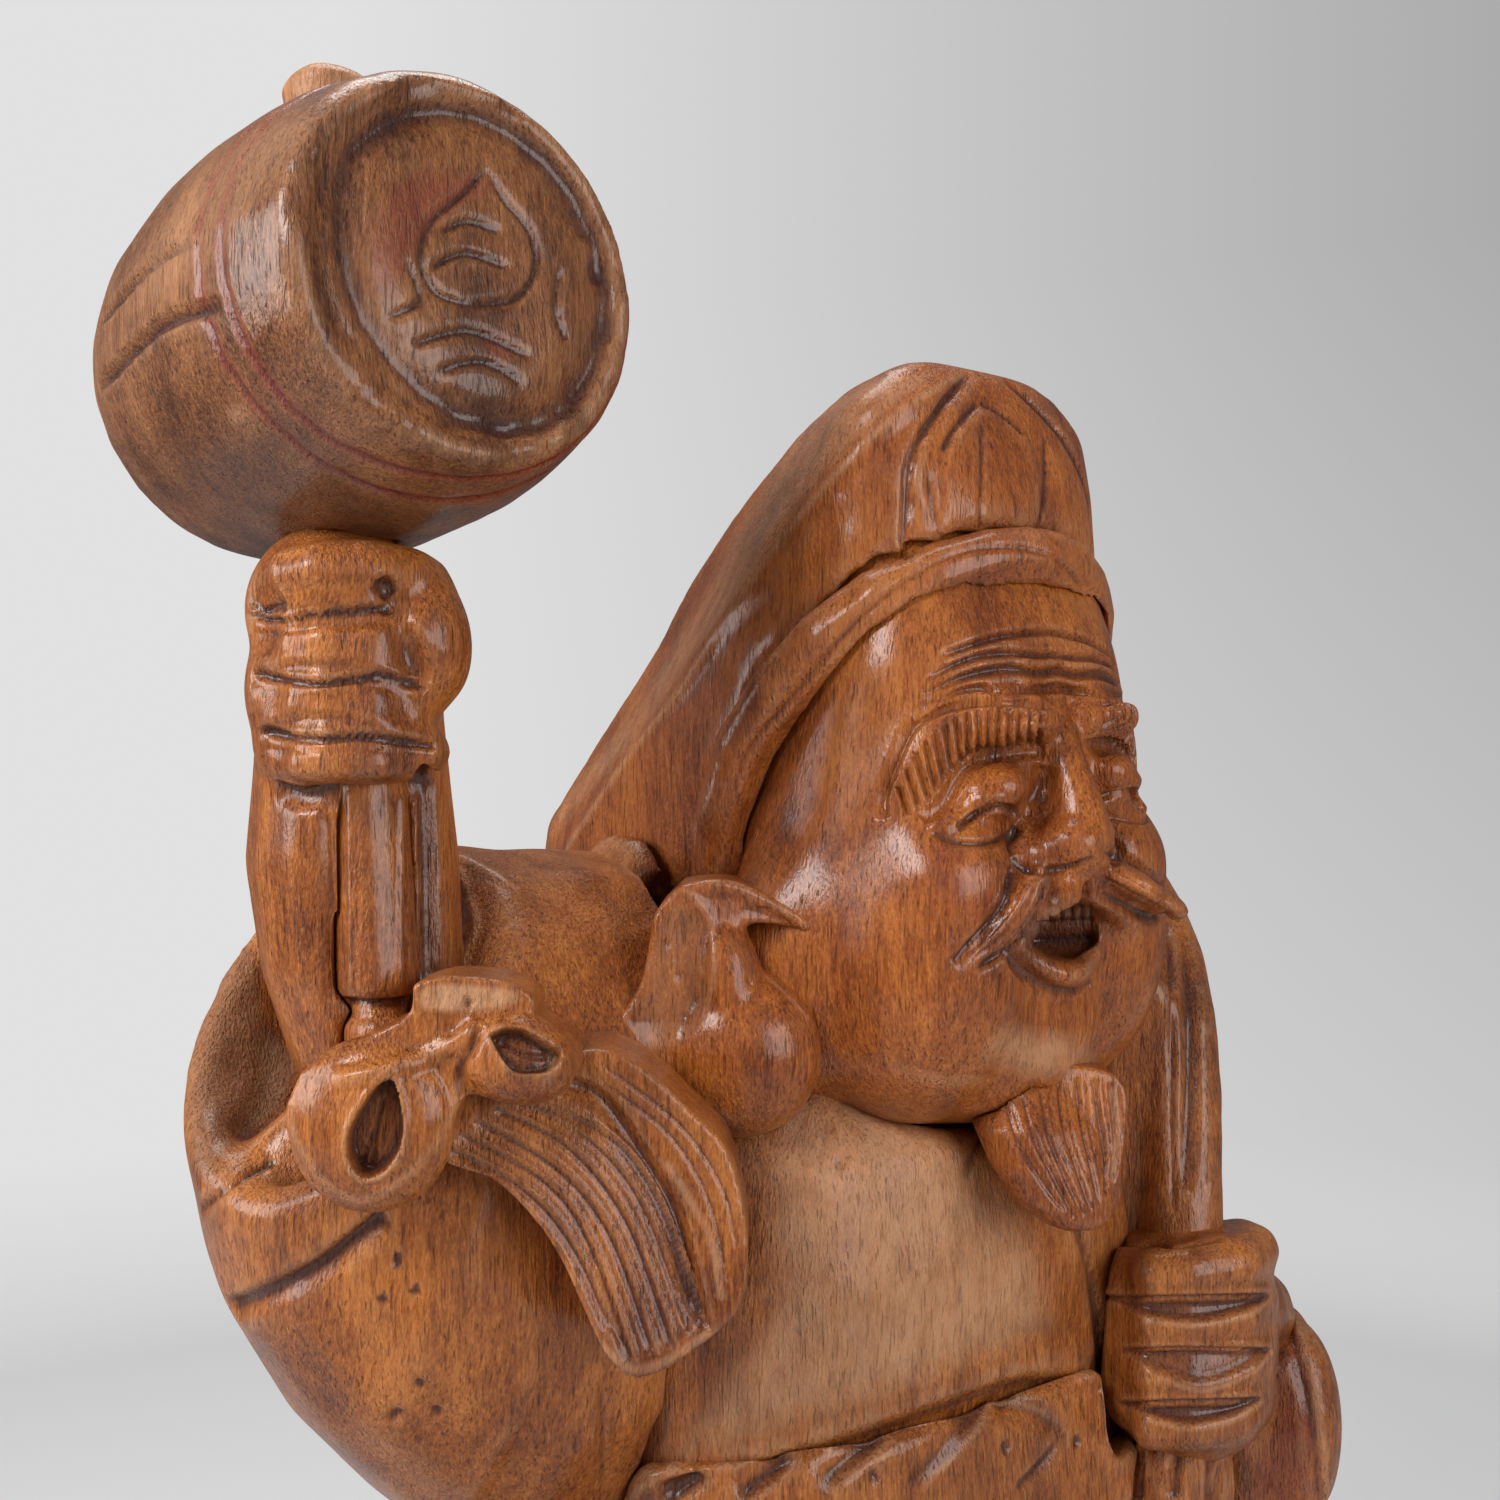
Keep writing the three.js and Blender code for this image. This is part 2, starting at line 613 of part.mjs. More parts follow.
// Each level of the crown has a rounded front, a side up to the ridge and a slanting facet behind it.
function crownForm() {
  const top = chin + HEAD_HEIGHT + CROWN_RISE;
  const nape = chin + HEAD_HEIGHT * 0.375;
  const half = CROWN_WIDTH / 2;
  const rows = [
    [0, -70, 1, 50, 0.88, 2], [0.123, -70, 1.01, 48, 0.85, 4], [0.295, -70, 1, 20, 0.72, 19],
    [0.466, -70, 0.96, -3, 0.6, 36], [0.637, -68, 0.88, -22, 0.54, 53], [0.78, -64, 0.8, -38, 0.48, 72],
    [0.9, -59, 0.7, -46, 0.44, 94], [0.973, -54, 0.5, -47, 0.36, 108], [1, -49, 0.3, -46, 0.22, 118],
  ];
  const rings = rows.map(([share, front, wide, ridge, facet, inset]) =>
    crownRing(nape + (top - nape) * share, front, half * wide, ridge, half * facet, CROWN_BACK - inset));
  return loft(rings);
}

const makeCrown = () => cut(crownForm(), faceOpening(), ...crownPleats(chin + HEAD_HEIGHT + CROWN_RISE));

// Everything in front of the slanting plane through the band belongs to the face.
function faceOpening() {
  const size = 300;
  const forward = vec(0, -0.859, -0.511);
  const geometry = new THREE.BoxGeometry(size, size, size);
  geometry.applyQuaternion(new THREE.Quaternion().setFromUnitVectors(vec(0, 0, 1), forward));
  const middle = vec(0, -64, chin + HEAD_HEIGHT - 4).addScaledVector(forward, size / 2);
  geometry.translate(middle.x, middle.y, middle.z);
  return solid(geometry);
}

// The folded peak: an arrow of two cuts over two upright cuts on the front of the crown.
function crownPleats(top) {
  const face = (x, z) => vec(x, -66 + (z - (top - 56)) * 0.27 + Math.abs(x) * 0.16, z);
  const lines = [
    [face(0, top - 9), face(-19, top - 27)],
    [face(0, top - 9), face(19, top - 27)],
    [face(-19, top - 27), face(-20, top - 54)],
    [face(19, top - 27), face(20, top - 54)],
  ];
  const wide = PLEAT_DEPTH * 3;
  return lines.map(([a, b]) => bar([a, b], [wide, wide], { steps: 1, sides: 4, up: vec(0, 1, 0) }));
}

// A long ear: an outward wedge with a heavy round lobe.
function earForm() {
  const x = -FACE_WIDTH / 2;
  const low = chin - 8;
  const level = (share, reach, depth, y) =>
    [low + EAR_HEIGHT * share, x + 4 - reach / 2, y, reach + 12, depth];
  const blade = stack([
    level(0.2, EAR_REACH * 0.5, EAR_DEPTH * 0.5, -18), level(0.42, EAR_REACH * 0.7, EAR_DEPTH * 0.8, -11),
    level(0.68, EAR_REACH * 0.85, EAR_DEPTH, -8), level(0.91, EAR_REACH * 0.8, EAR_DEPTH * 0.9, -7),
    level(1, EAR_REACH * 0.5, EAR_DEPTH * 0.6, -8),
  ], 2.1, 10);
  const d = EAR_LOBE_DIAMETER;
  const lobe = egg(vec(x - 4, -23, low + d * 0.6), d, d * 0.96, d * 1.2, 9);
  return join(blade, lobe);
}

function makeEar() {
  const x = -FACE_WIDTH / 2;
  const low = chin - 8;
  const hollow = bar(
    [vec(x - 10, -24, low + EAR_HEIGHT * 0.88), vec(x - 15, -18, low + EAR_HEIGHT * 0.72),
      vec(x - 11, -22, low + EAR_HEIGHT * 0.5)],
    [5, 9, 5],
    { steps: 4, sides: 6, up: vec(1, 0, 0) },
  );
  return cut(earForm(), hollow);
}

// The beard falls from under the chin to a blunt tip that turns forward.
function makeBeard() {
  const z = chin + 14;
  const row = (share, y, width, depth) => [z - BEARD_LENGTH * share, 1, y, BEARD_WIDTH * width, depth];
  return stack([
    row(1, -84, 0.3, 8), row(0.94, -83, 0.56, 13), row(0.8, -80, 0.84, 19),
    row(0.55, -75, 1, 24), row(0.3, -70, 1.02, 26), row(0, -65, 0.8, 22),
  ], 2.3, 16);
}

const malletCentre = () => vec(-HAND_SIDE, -11, shoulder + MALLET_ABOVE_SHOULDER);
const malletTurn = () => new THREE.Matrix4().makeRotationX(THREE.MathUtils.degToRad(-MALLET_TILT));

// Points given along the mallet: x across, y back along the barrel, z up the handle.
function onMallet(x, y, z) {
  return vec(x, y, z).applyMatrix4(malletTurn()).add(malletCentre());
}

// The barrel is a turned form: bulged side, hoops, broad bevelled rim, ring groove and raised disc.
function makeMalletHead() {
  const half = MALLET_LENGTH / 2;
  const end = MALLET_END_DIAMETER / 2;
  const full = MALLET_DIAMETER / 2;
  const ring = MALLET_RING_DIAMETER / 2;
  const groove = MALLET_GROOVE;
  const bulge = (y) => end + (full - end) * (1 - Math.abs(y / half) ** 2.2);
  const rim = (y, sign) => [
    [0, y + sign * groove / 2], [ring - 2, y + sign * groove / 2], [ring, y + sign * groove * 1.6],
    [ring + 2.4, y + sign * groove * 1.6], [ring + 4.4, y], [end - 2.5, y], [end, y + sign * 2.5],
  ];
  const hoops = [-16, -6];
  const profile = rim(-half, 1);
  [-34].forEach((y) => profile.push([bulge(y), y]));
  hoops.forEach((y) => profile.push([bulge(y), y - 1.6], [bulge(y) - groove * 0.6, y], [bulge(y), y + 1.6]));
  [12, 34].forEach((y) => profile.push([bulge(y), y]));
  profile.push([end, half - 2.5], [end - 2.5, half], [0, half]);
  const geometry = new THREE.LatheGeometry(profile.map(([r, y]) => new THREE.Vector2(r, y)), 22);
  geometry.applyMatrix4(malletTurn());
  const centre = malletCentre();
  geometry.translate(centre.x, centre.y, centre.z);
  return solid(geometry);
}

// The handle runs right through the barrel and the fist, down to a butt with a neck above it.
function makeHandle() {
  const r = HANDLE_DIAMETER;
  const top = MALLET_DIAMETER / 2 + HANDLE_ABOVE;
  const bottom = top - HANDLE_LENGTH;
  const back = onMallet(0, 1, 0).sub(malletCentre());
  const lean = Math.tan(THREE.MathUtils.degToRad(HANDLE_LEAN));
  const ring = (z, size) => {
    const aside = lean * (bottom - z - HANDLE_BUTT);
    return oval(onMallet(aside, 0, z), vec(size / 2, 0, 0), back.clone().multiplyScalar(size / 2), 2.6, 12);
  };
  return loft([
    ring(bottom, r * 0.7), ring(bottom + 2, r * 0.95), ring(bottom + HANDLE_BUTT - 2, r * 0.95),
    ring(bottom + HANDLE_BUTT, r * 0.7), ring(bottom + HANDLE_BUTT + 2, r * 0.7),
    ring(bottom + HANDLE_BUTT + 5, r * 1.08), ring(-MALLET_DIAMETER / 2, r),
    ring(top - HANDLE_ABOVE, r * 1.1), ring(top - 3, r * 1.25), ring(top, r * 0.85),
  ], 1);
}

// The forearm tapers up from a tenon inside the sleeve to the wrist below the barrel.
function makeForearm() {
  const wristTop = -MALLET_DIAMETER / 2 - 1;
  const low = wristTop - 112;
  const at = (z, x, y, width, depth) =>
    oval(onMallet(x, y, z), vec(width / 2, 0, 0), vec(0, depth / 2, 0), 2.5, 12);
  const w = FOREARM_WIDTH;
  return loft([
    at(low - FOREARM_TENON, 17, 18, w * 0.6, w * 0.6), at(low, 8, 17, w * 0.82, w * 0.76),
    at(low + 20, 5, 17, w * 0.95, w * 0.84), at(low + 45, 3, 16, w, w * 0.9),
    at(wristTop - FIST_HEIGHT, 2, 13, w * 0.92, w * 0.86),
    at(wristTop - FIST_HEIGHT * 0.6, 0, 8, w * 0.84, w * 0.8),
    at(wristTop - 6, 0, 6, w * 0.8, w * 0.74), at(wristTop, 0, 5, w * 0.66, w * 0.6),
  ]);
}

// The fist: four fingers stacked round the handle and a thumb along it.
function makeRightArm() {
  const wristTop = -MALLET_DIAMETER / 2 - 1;
  const t = FINGER_THICKNESS;
  const fingers = [0, 1, 2, 3].map((i) => {
    const z = wristTop - FINGER_PITCH * (i + 0.58);
    const reach = (HANDLE_DIAMETER + t) / 2 - i * 0.4;
    const points = [0, 1 / 3, 2 / 3, 1].map((share) => {
      const a = THREE.MathUtils.degToRad(FINGER_START + FINGER_SWEEP * share);
      return onMallet(reach * 1.25 * Math.cos(a) - 3, reach * Math.sin(a), z);
    });
    return bar(points, [t * 0.8, t, t, t * 0.7], { steps: 4, sides: 7 });
  });
  const thumb = bar(
    [onMallet(10, -4, wristTop - 34), onMallet(12, -10, wristTop - 20), onMallet(9, -16, wristTop - 7)],
    [13, 14, 9],
    { steps: 4, sides: 7, up: vec(0, 1, 0) },
  );
  return join(makeForearm(), ...fingers, thumb);
}

// The sleeve pivots about the inner top of its mouth: each oval spans a low and a high point.
function makeRightSleeve() {
  const top = shoulder - 2;
  const low = top - SLEEVE_DROP;
  const mouthLow = [-HAND_SIDE - 29, shoulder - 71];
  const mouthHigh = [-HAND_SIDE + 37, shoulder - 3];
  const ring = (x0, z0, x1, z1, depth, y, lift) => {
    const a = vec(x0, y, z0);
    const b = vec(x1, y, z1);
    const out = b.clone().sub(a).multiplyScalar(0.5);
    return oval(a.lerp(b, 0.5), out, vec(0, depth / 2, lift), 2.2, 18);
  };
  const full = SLEEVE_DEPTH;
  const mouth = SLEEVE_MOUTH_DEPTH;
  const rings = [
    ring(-70, low + 14, -78, top - 2, full * 0.9, 14, 0),
    ring(-98, low + 2, -98, top, full, 12, 0),
    ring(-125, low + 6, -114, top, full, 10, 4),
    ring(-149, low + 28, -122, top + 1, full * 0.96, 9, 8),
    ring(-170, low + 52, -126, top + 1, full * 0.9, 8, 12),
    ring(-186, low + 80, -128, top, (full + mouth) * 0.44, 8, 16),
    ring(...mouthLow, ...mouthHigh, mouth, 8, 20),
  ];
  const run = vec(mouthHigh[0] - mouthLow[0], 0, mouthHigh[1] - mouthLow[1]);
  const along = run.clone().normalize();
  const inward = vec(along.z, 0, -along.x);
  const inner = (step, wall) => {
    const a = vec(mouthLow[0], 0, mouthLow[1]).addScaledVector(along, wall).addScaledVector(inward, step);
    const b = a.clone().addScaledVector(along, run.length() - 2 * wall);
    return ring(a.x, a.z, b.x, b.z, mouth - 2 * wall, 8, 20 - wall / 2);
  };
  const hollow = loft([
    inner(-4, SLEEVE_WALL),
    inner(SLEEVE_HOLLOW * 0.6, SLEEVE_WALL + 1),
    inner(SLEEVE_HOLLOW, SLEEVE_WALL + 12),
  ]);
  return cut(loft(rings), hollow);
}

const knotCentre = () => onMallet(10, -17, MALLET_DIAMETER / 2 + HANDLE_ABOVE - HANDLE_LENGTH + HANDLE_BUTT);

// Two flat loops of cord stand out from a round knot, one down the sleeve and one along it.
function makeBow() {
  const knot = knotCentre();
  const loop = (outward, droop, size) => {
    const out = outward.clone().normalize();
    const across = droop.clone().normalize();
    const reach = BOW_LOOP_LENGTH * size;
    const at = (along, side) => knot.clone()
      .addScaledVector(out, reach * along)
      .addScaledVector(across, reach * side);
    const points = [at(0.15, 0.06), at(0.65, 0.36), at(1.05, 0.3)];
    points.push(at(1.12, -0.16), at(0.75, -0.36), at(0.15, -0.06));
    const c = BOW_CORD * (0.4 + 0.6 * size);
    return bar(points, [c, c * 1.15, c, c, c * 1.15, c], { steps: 9, sides: 6, up: vec(-0.5, -0.8, 0.2) });
  };
  const left = loop(vec(-0.5, 0.16, -0.84), vec(0.82, -0.3, -0.5), 1);
  const right = loop(vec(0.72, -0.54, -0.42), vec(0.35, 0.1, 0.9), 0.6);
  return join(egg(knot, KNOT_DIAMETER, KNOT_DIAMETER * 0.9, KNOT_DIAMETER * 0.86, 9), left, right);
}

// The tassel spreads from the knot in a curved fan of strands.
function makeTassel() {
  const start = knotCentre().add(vec(9, -5, -17));
  const run = TASSEL_LENGTH;
  const spine = new THREE.CatmullRomCurve3([
    start,
    start.clone().add(vec(run * 0.22, -run * 0.11, -run * 0.12)),
    start.clone().add(vec(run * 0.38, -run * 0.18, -run * 0.3)),
    start.clone().add(vec(run * 0.45, -run * 0.2, -run * 0.5)),
    start.clone().add(vec(run * 0.48, -run * 0.2, -run * 0.72)),
  ]);
  const steps = 6;
  const outward = vec(-0.45, -0.85, 0.2).normalize();
  const perStrand = 2;
  const count = TASSEL_STRANDS * perStrand;
  const rings = [];
  for (let i = 0; i <= steps; i += 1) {
    const t = i / steps;
    const centre = spine.getPoint(t);
    const tangent = spine.getTangent(t);
    const side = tangent.clone().cross(outward).normalize();
    const lift = side.clone().cross(tangent).normalize();
    const spread = Math.sin(Math.min(1, t * 1.25) * Math.PI / 2);
    const half = THREE.MathUtils.lerp(TASSEL_END_WIDTH * 0.36, TASSEL_END_WIDTH / 2, spread);
    const thick = TASSEL_THICKNESS / 2 * (t > 0.9 ? 0.75 : 1);
    const slant = TASSEL_END_SLANT * t ** 3;
    const top = [];
    for (let k = 0; k <= count; k += 1) {
      const share = k / count * 2 - 1;
      const ridge = k % perStrand === 0 ? -1.1 * spread : 0.9 * spread;
      const high = thick * Math.sqrt(Math.max(0, 1 - share ** 2 * 0.8)) + ridge;
      top.push(centre.clone().addScaledVector(side, half * share).addScaledVector(lift, high)
        .addScaledVector(tangent, slant * share));
    }
    const under = [1, 0.4, -0.4, -1].map((share) => centre.clone()
      .addScaledVector(side, half * share * 0.95)
      .addScaledVector(tangent, slant * share)
      .addScaledVector(lift, -thick * (1 - 0.3 * Math.abs(share))));
    rings.push([...top, ...under]);
  }
  return loft(rings);
}

// The left sleeve hangs from the bent arm, with its mouth turned forward.
function makeLeftSleeve() {
  const top = shoulder - 6;
  const low = top - LEFT_SLEEVE_DROP;
  const reach = LEFT_SLEEVE_REACH;
  const row = (share, inner, outer, y, depth) =>
    [low + LEFT_SLEEVE_DROP * share, reach - (inner + outer) / 2, y, inner - outer, depth];
  return stack([
    row(0, 48, 14, -36, 60), row(0.06, 58, 5, -38, 86), row(0.225, 62, 0, -38, 98),
    row(0.36, 64, 5, -35, 92), row(0.47, 66, 20, -18, 66), row(0.675, 68, 26, 2, 58),
    row(0.855, 70, 32, 8, 56), row(1, 72, 44, 10, 44),
  ], 2.4, 14);
}

const leftHandTop = () => waist + 50;

// The cloth of the sack is gathered over the left shoulder, through the hand, and opens below it.
function makeSackNeck() {
  const x = LEFT_HAND_SIDE;
  const hand = leftHandTop();
  const low = hand - LEFT_HAND_HEIGHT;
  const out = SACK_MOUTH_STAND;
  const points = [
    [x + 22, 66, shoulder - 20, 1.3], [x + 36, 34, shoulder + 2, 1.2], [x + 36, -4, shoulder + 2, 1.05],
    [x + 24, -40, shoulder - 24, 1], [x + 13, -58, shoulder - 46, 1], [x + 7, -66, hand + 34, 1],
    [x + 2, 2 - out, hand + 4, 0.92], [x, 1 - out, low + LEFT_HAND_HEIGHT / 2, 0.9], [x, -1 - out, low, 1],
  ];
  const along = points.map(([px, py, pz]) => vec(px, py, pz));
  const path = new THREE.CatmullRomCurve3(along, false, 'centripetal');
  const steps = 13;
  const rings = [];
  for (let i = 0; i <= steps; i += 1) {
    const t = i / steps;
    const tangent = path.getTangent(t);
    const level = vec(0.86, -0.5, 0);
    const side = level.clone().addScaledVector(tangent, -tangent.dot(level)).normalize();
    const lift = side.clone().cross(tangent).normalize();
    const size = points[Math.min(points.length - 1, Math.round(t * (points.length - 1)))][3];
    const u = side.multiplyScalar(SACK_NECK_WIDTH / 2 * size);
    const v = lift.multiplyScalar(SACK_NECK_DEPTH / 2 * size);
    rings.push(oval(path.getPoint(t), u, v, 2.2, 12));
  }
  const mouth = stack([
    [low - 44, x - 2, 7 - out, SACK_MOUTH_WIDTH * 1.15, SACK_NECK_DEPTH * 1.7],
    [low - 30, x - 1, 5 - out, SACK_MOUTH_WIDTH, SACK_NECK_DEPTH * 1.6],
    [low - 10, x, 1 - out, SACK_MOUTH_WIDTH * 0.8, SACK_NECK_DEPTH * 1.3],
    [low + 4, x, -out, SACK_NECK_WIDTH, SACK_NECK_DEPTH],
  ], 2.2, 14);
  return join(loft(rings), mouth);
}

// The palm; the sash and the sleeve are cut back round a larger copy of it.
function makeLeftPalm(extra = 0) {
  const x = LEFT_HAND_SIDE;
  const top = leftHandTop() + extra / 3;
  const low = leftHandTop() - LEFT_HAND_HEIGHT - extra / 3;
  const row = (z, share, depth) => [z, x, -70 - extra / 3, LEFT_HAND_WIDTH * share + extra, depth + extra];
  return stack([
    row(low + 2, 0.8, 28), row(low + 10, 0.94, 34), row(top - 12, 0.96, 35), row(top - 2, 0.8, 27),
  ], 2.5, 14);
}

function makeLeftWrist() {
  const x = LEFT_HAND_SIDE + LEFT_HAND_WIDTH / 2;
  const top = leftHandTop();
  return bar(
    [vec(x - 6, -70, top - 26), vec(x + 10, -66, top - 32), vec(x + 24, -58, top - 38)],
    [34, 33, 32],
    { steps: 3, sides: 10 },
  );
}

function makeLeftHand() {
  const x = LEFT_HAND_SIDE;
  const top = leftHandTop();
  const half = LEFT_HAND_WIDTH / 2;
  const pitch = LEFT_HAND_HEIGHT / 4;
  const fingers = [0, 1, 2, 3].map((i) => {
    const z = top - pitch * (i + 0.5);
    const points = [vec(x - half + 2, -75, z), vec(x - half * 0.4, -86, z + 1)];
    points.push(vec(x + half * 0.5, -87, z + 1), vec(x + half, -72, z));
    return bar(points, [pitch, pitch * 1.22, pitch * 1.22, pitch * 1.05], { steps: 4, sides: 7 });
  });
  return join(makeLeftPalm(), ...fingers, makeLeftWrist());
}

// The full sack rests on the back of the left shoulder.
function makeSackBody() {
  const x = LEFT_HAND_SIDE - 4;
  const y = 92;
  const top = shoulder - 2;
  const rows = [
    [top - SACK_HEIGHT, 0.42, 0.5], [top - SACK_HEIGHT * 0.94, 0.7, 0.78], [top - SACK_HEIGHT * 0.72, 1, 1],
    [top - SACK_HEIGHT * 0.5, 0.98, 1], [top - SACK_HEIGHT * 0.28, 0.84, 0.9],
    [top - SACK_HEIGHT * 0.12, 0.6, 0.7], [top, 0.34, 0.42],
  ];
  const lean = 22;
  return stack(rows.map(([z, w, d]) =>
    [z, x + (1 - w) * lean, y - (1 - d) * lean, SACK_WIDTH * w, SACK_DEPTH * d]), 2.3, 16);
}

// Blocks are carved in the order in which a maker fits them, each one to those already there.
function carve() {
  const earRight = mainBody(cut(makeEar(), grown(makeSkull()), grown(makeBand()), grown(crownForm())));
  const ears = join(earForm(), mirrored(earForm()));
  const headSeat = grown(makeSkull());
  const chinSeat = grown(join(makeSkull(), chinBall()));
  const bandSeat = grown(makeBand());
  const torsoSeat = grown(makeTorso());
  const skirtSeat = grown(makeSkirt(), 1.5 * CLEARANCE);
  const handleSeat = grown(makeHandle());
  const forearmSeat = grown(makeForearm());
  const sleeveRightSeat = grown(makeRightSleeve());
  const neckSeat = grown(makeSackNeck());
  const palmSeat = grown(makeLeftPalm(14));
  const wristSeat = grown(makeLeftWrist());
  const sleeveLeftSeat = grown(makeLeftSleeve());
  const body = join(torsoSeat, skirtSeat);
  const above = join(headSeat, grown(crownForm()), grown(ears));
  const sash = mainBody(cut(makeSash(), body, neckSeat, palmSeat, sleeveLeftSeat, sleeveRightSeat));
  return {
    base: makeBase(),
    rice_bale_right: makeBale(-1),
    rice_bale_left: makeBale(1),
    boot_right: makeBoot(-1),
    boot_left: makeBoot(1),
    trousers: makeTrousers(),
    robe_skirt: cut(makeSkirt(), grown(makeTrousers())),
    robe_torso: mainBody(cut(makeTorso(), above, chinSeat, grown(makeBeard()))),
    sash,
    head: makeHead(),
    ear_right: earRight,
    ear_left: mirrored(earRight),
    beard: mainBody(cut(makeBeard(), chinSeat)),
    hat_band: mainBody(cut(makeBand(), headSeat)),
    hat_crown: mainBody(cut(makeCrown(), headSeat, bandSeat)),
    mallet_head: cut(makeMalletHead(), handleSeat),
    mallet_handle: makeHandle(),
    arm_right: mainBody(cut(makeRightArm(), handleSeat)),
    sleeve_right: mainBody(cut(makeRightSleeve(), forearmSeat, handleSeat, body, above)),
    bow: mainBody(cut(makeBow(), handleSeat, forearmSeat, sleeveRightSeat)),
    tassel: mainBody(cut(makeTassel(), grown(makeBow()), sleeveRightSeat, torsoSeat)),
    sleeve_left: mainBody(cut(makeLeftSleeve(), body, above, neckSeat, palmSeat, wristSeat)),
    hand_left: mainBody(cut(makeLeftHand(), neckSeat, torsoSeat)),
    sack_neck: mainBody(cut(makeSackNeck(), body, above)),
    sack_body: mainBody(cut(makeSackBody(), body, above, sleeveLeftSeat, neckSeat, grown(sash))),
  };
}

const X = vec(1, 0, 0);
const Y = vec(0, 1, 0);
const Z = vec(0, 0, 1);

// Where each dowel sits, which way it runs, how thick it is, and the blocks that are bored for it.
function dowelPlan() {
  const leg = STANCE / 2;
  const baleX = BALE_SPACING / 2;
  const face = FACE_WIDTH / 2;
  const brim = chin + HEAD_HEIGHT;
  const thick = [DOWEL_DIAMETER, DOWEL_REACH];
  const thin = [PEG_DIAMETER, PEG_REACH];
  const seam = CLEARANCE / 2;
  const elbow = onMallet(17, 18, -MALLET_DIAMETER / 2 - 113 - FOREARM_TENON);
  const half = WAIST_WIDTH / 2;
  const wrist = vec(LEFT_HAND_SIDE + LEFT_HAND_WIDTH / 2 + 24, -58, leftHandTop() - 38);
  const sackBack = vec(LEFT_HAND_SIDE - 10, CHEST_DEPTH / 2 * 1.03, waist + 84);
  const plan = [
    ['neck_dowel', vec(0, -16, chin - seam), Z, thick, 'head', 'robe_torso'],
    ['hat_dowel', vec(0, HEAD_BACK - 8, brim - 56), Y, thick, 'head', 'hat_crown'],
    ['beard_peg', vec(0, -69, chin + 5), Z, thin, 'head', 'beard'],
    ['bow_peg', knotCentre().add(vec(4, 12, -3)), Y, thin, 'bow', 'arm_right', 'sleeve_right'],
    ['tassel_peg', knotCentre().add(vec(36, -13, -42)), Y, thin, 'tassel', 'sleeve_right'],
    ['elbow_dowel', elbow, vec(0.5, 0, -0.87), thick, 'arm_right', 'sleeve_right'],
    ['sleeve_dowel_upper', vec(-half * 0.93, 14, shoulder - 52), X, thick, 'sleeve_right', 'robe_torso'],
    ['sleeve_dowel_lower', vec(-half * 0.99, 8, waist + 44), X, thick, 'sleeve_right', 'robe_torso'],
    ['left_shoulder_dowel', vec(half * 0.95, 4, shoulder - 66), X, thick, 'sleeve_left', 'robe_torso'],
    ['wrist_dowel', wrist, vec(0.86, 0.5, 0), thin, 'hand_left', 'sleeve_left'],
    ['sack_dowel', sackBack, Y, thick, 'sack_body', 'robe_torso'],
  ];
  for (const [side, s] of [['right', -1], ['left', 1]]) {
    const [bale, boot] = [`rice_bale_${side}`, `boot_${side}`];
    const foot = BASE_THICKNESS + seam;
    plan.push(
      [`band_peg_${side}`, vec(s * (face - 1), -21, brim - 66), X, thin, 'head', 'hat_band'],
      [`ear_peg_${side}`, vec(s * face, -14, chin + 38), X, thin, 'head', `ear_${side}`],
      [`waist_dowel_${side}`, vec(s * half / 2, 0, waist + seam), Z, thick, 'robe_torso', 'robe_skirt'],
      [`ankle_dowel_${side}`, vec(s * leg, -4, bootTop + seam), Z, thick, 'trousers', boot],
      [`boot_dowel_${side}`, vec(s * leg, -24, baleTop + 1.5 * CLEARANCE), Z, thick, boot, bale],
      [`bale_dowel_front_${side}`, vec(s * baleX, -46, foot), Z, thick, 'base', bale],
      [`bale_dowel_back_${side}`, vec(s * baleX, 46, foot), Z, thick, 'base', bale],
    );
  }
  return plan;
}

const finishes = {
  boot_right: wood.dark,
  boot_left: wood.dark,
  sash: wood.dark,
  sleeve_left: wood.dark,
  sack_body: wood.dark,
  head: wood.warm,
  robe_torso: wood.warm,
  sleeve_right: wood.warm,
  mallet_handle: wood.warm,
};

const blocks = carve();
for (const [name, at, direction, [diameter, reach], ...owners] of dowelPlan()) {
  const { pin, hole } = dowel(at, direction, reach, diameter);
  for (const owner of owners) blocks[owner] = cut(blocks[owner], hole);
  place(name, pin, wood.pale);
}
for (const [name, body] of Object.entries(blocks)) place(name, body, finishes[name] ?? wood.mid);

export default group;
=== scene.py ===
# %% [markdown]
# # A carved wooden Daikoku figure
#
# The real figure is carved from hard reddish wood in blocks that are pegged and glued: a base, two
# straw rice bales, boots, trousers, a robe, a head with a laughing face, a soft folded hat, a mallet
# held up in one fist and the gathered mouth of a sack in the other. The CAD frame gives every block
# its place and its main form. This lesson cuts the carving into those blocks and gives them their
# wood, varnish and wear.

# %% Load the fixed frame
import math

import bmesh
import bpy
import numpy as np
from mathutils import Matrix, Vector
from mathutils.bvhtree import BVHTree


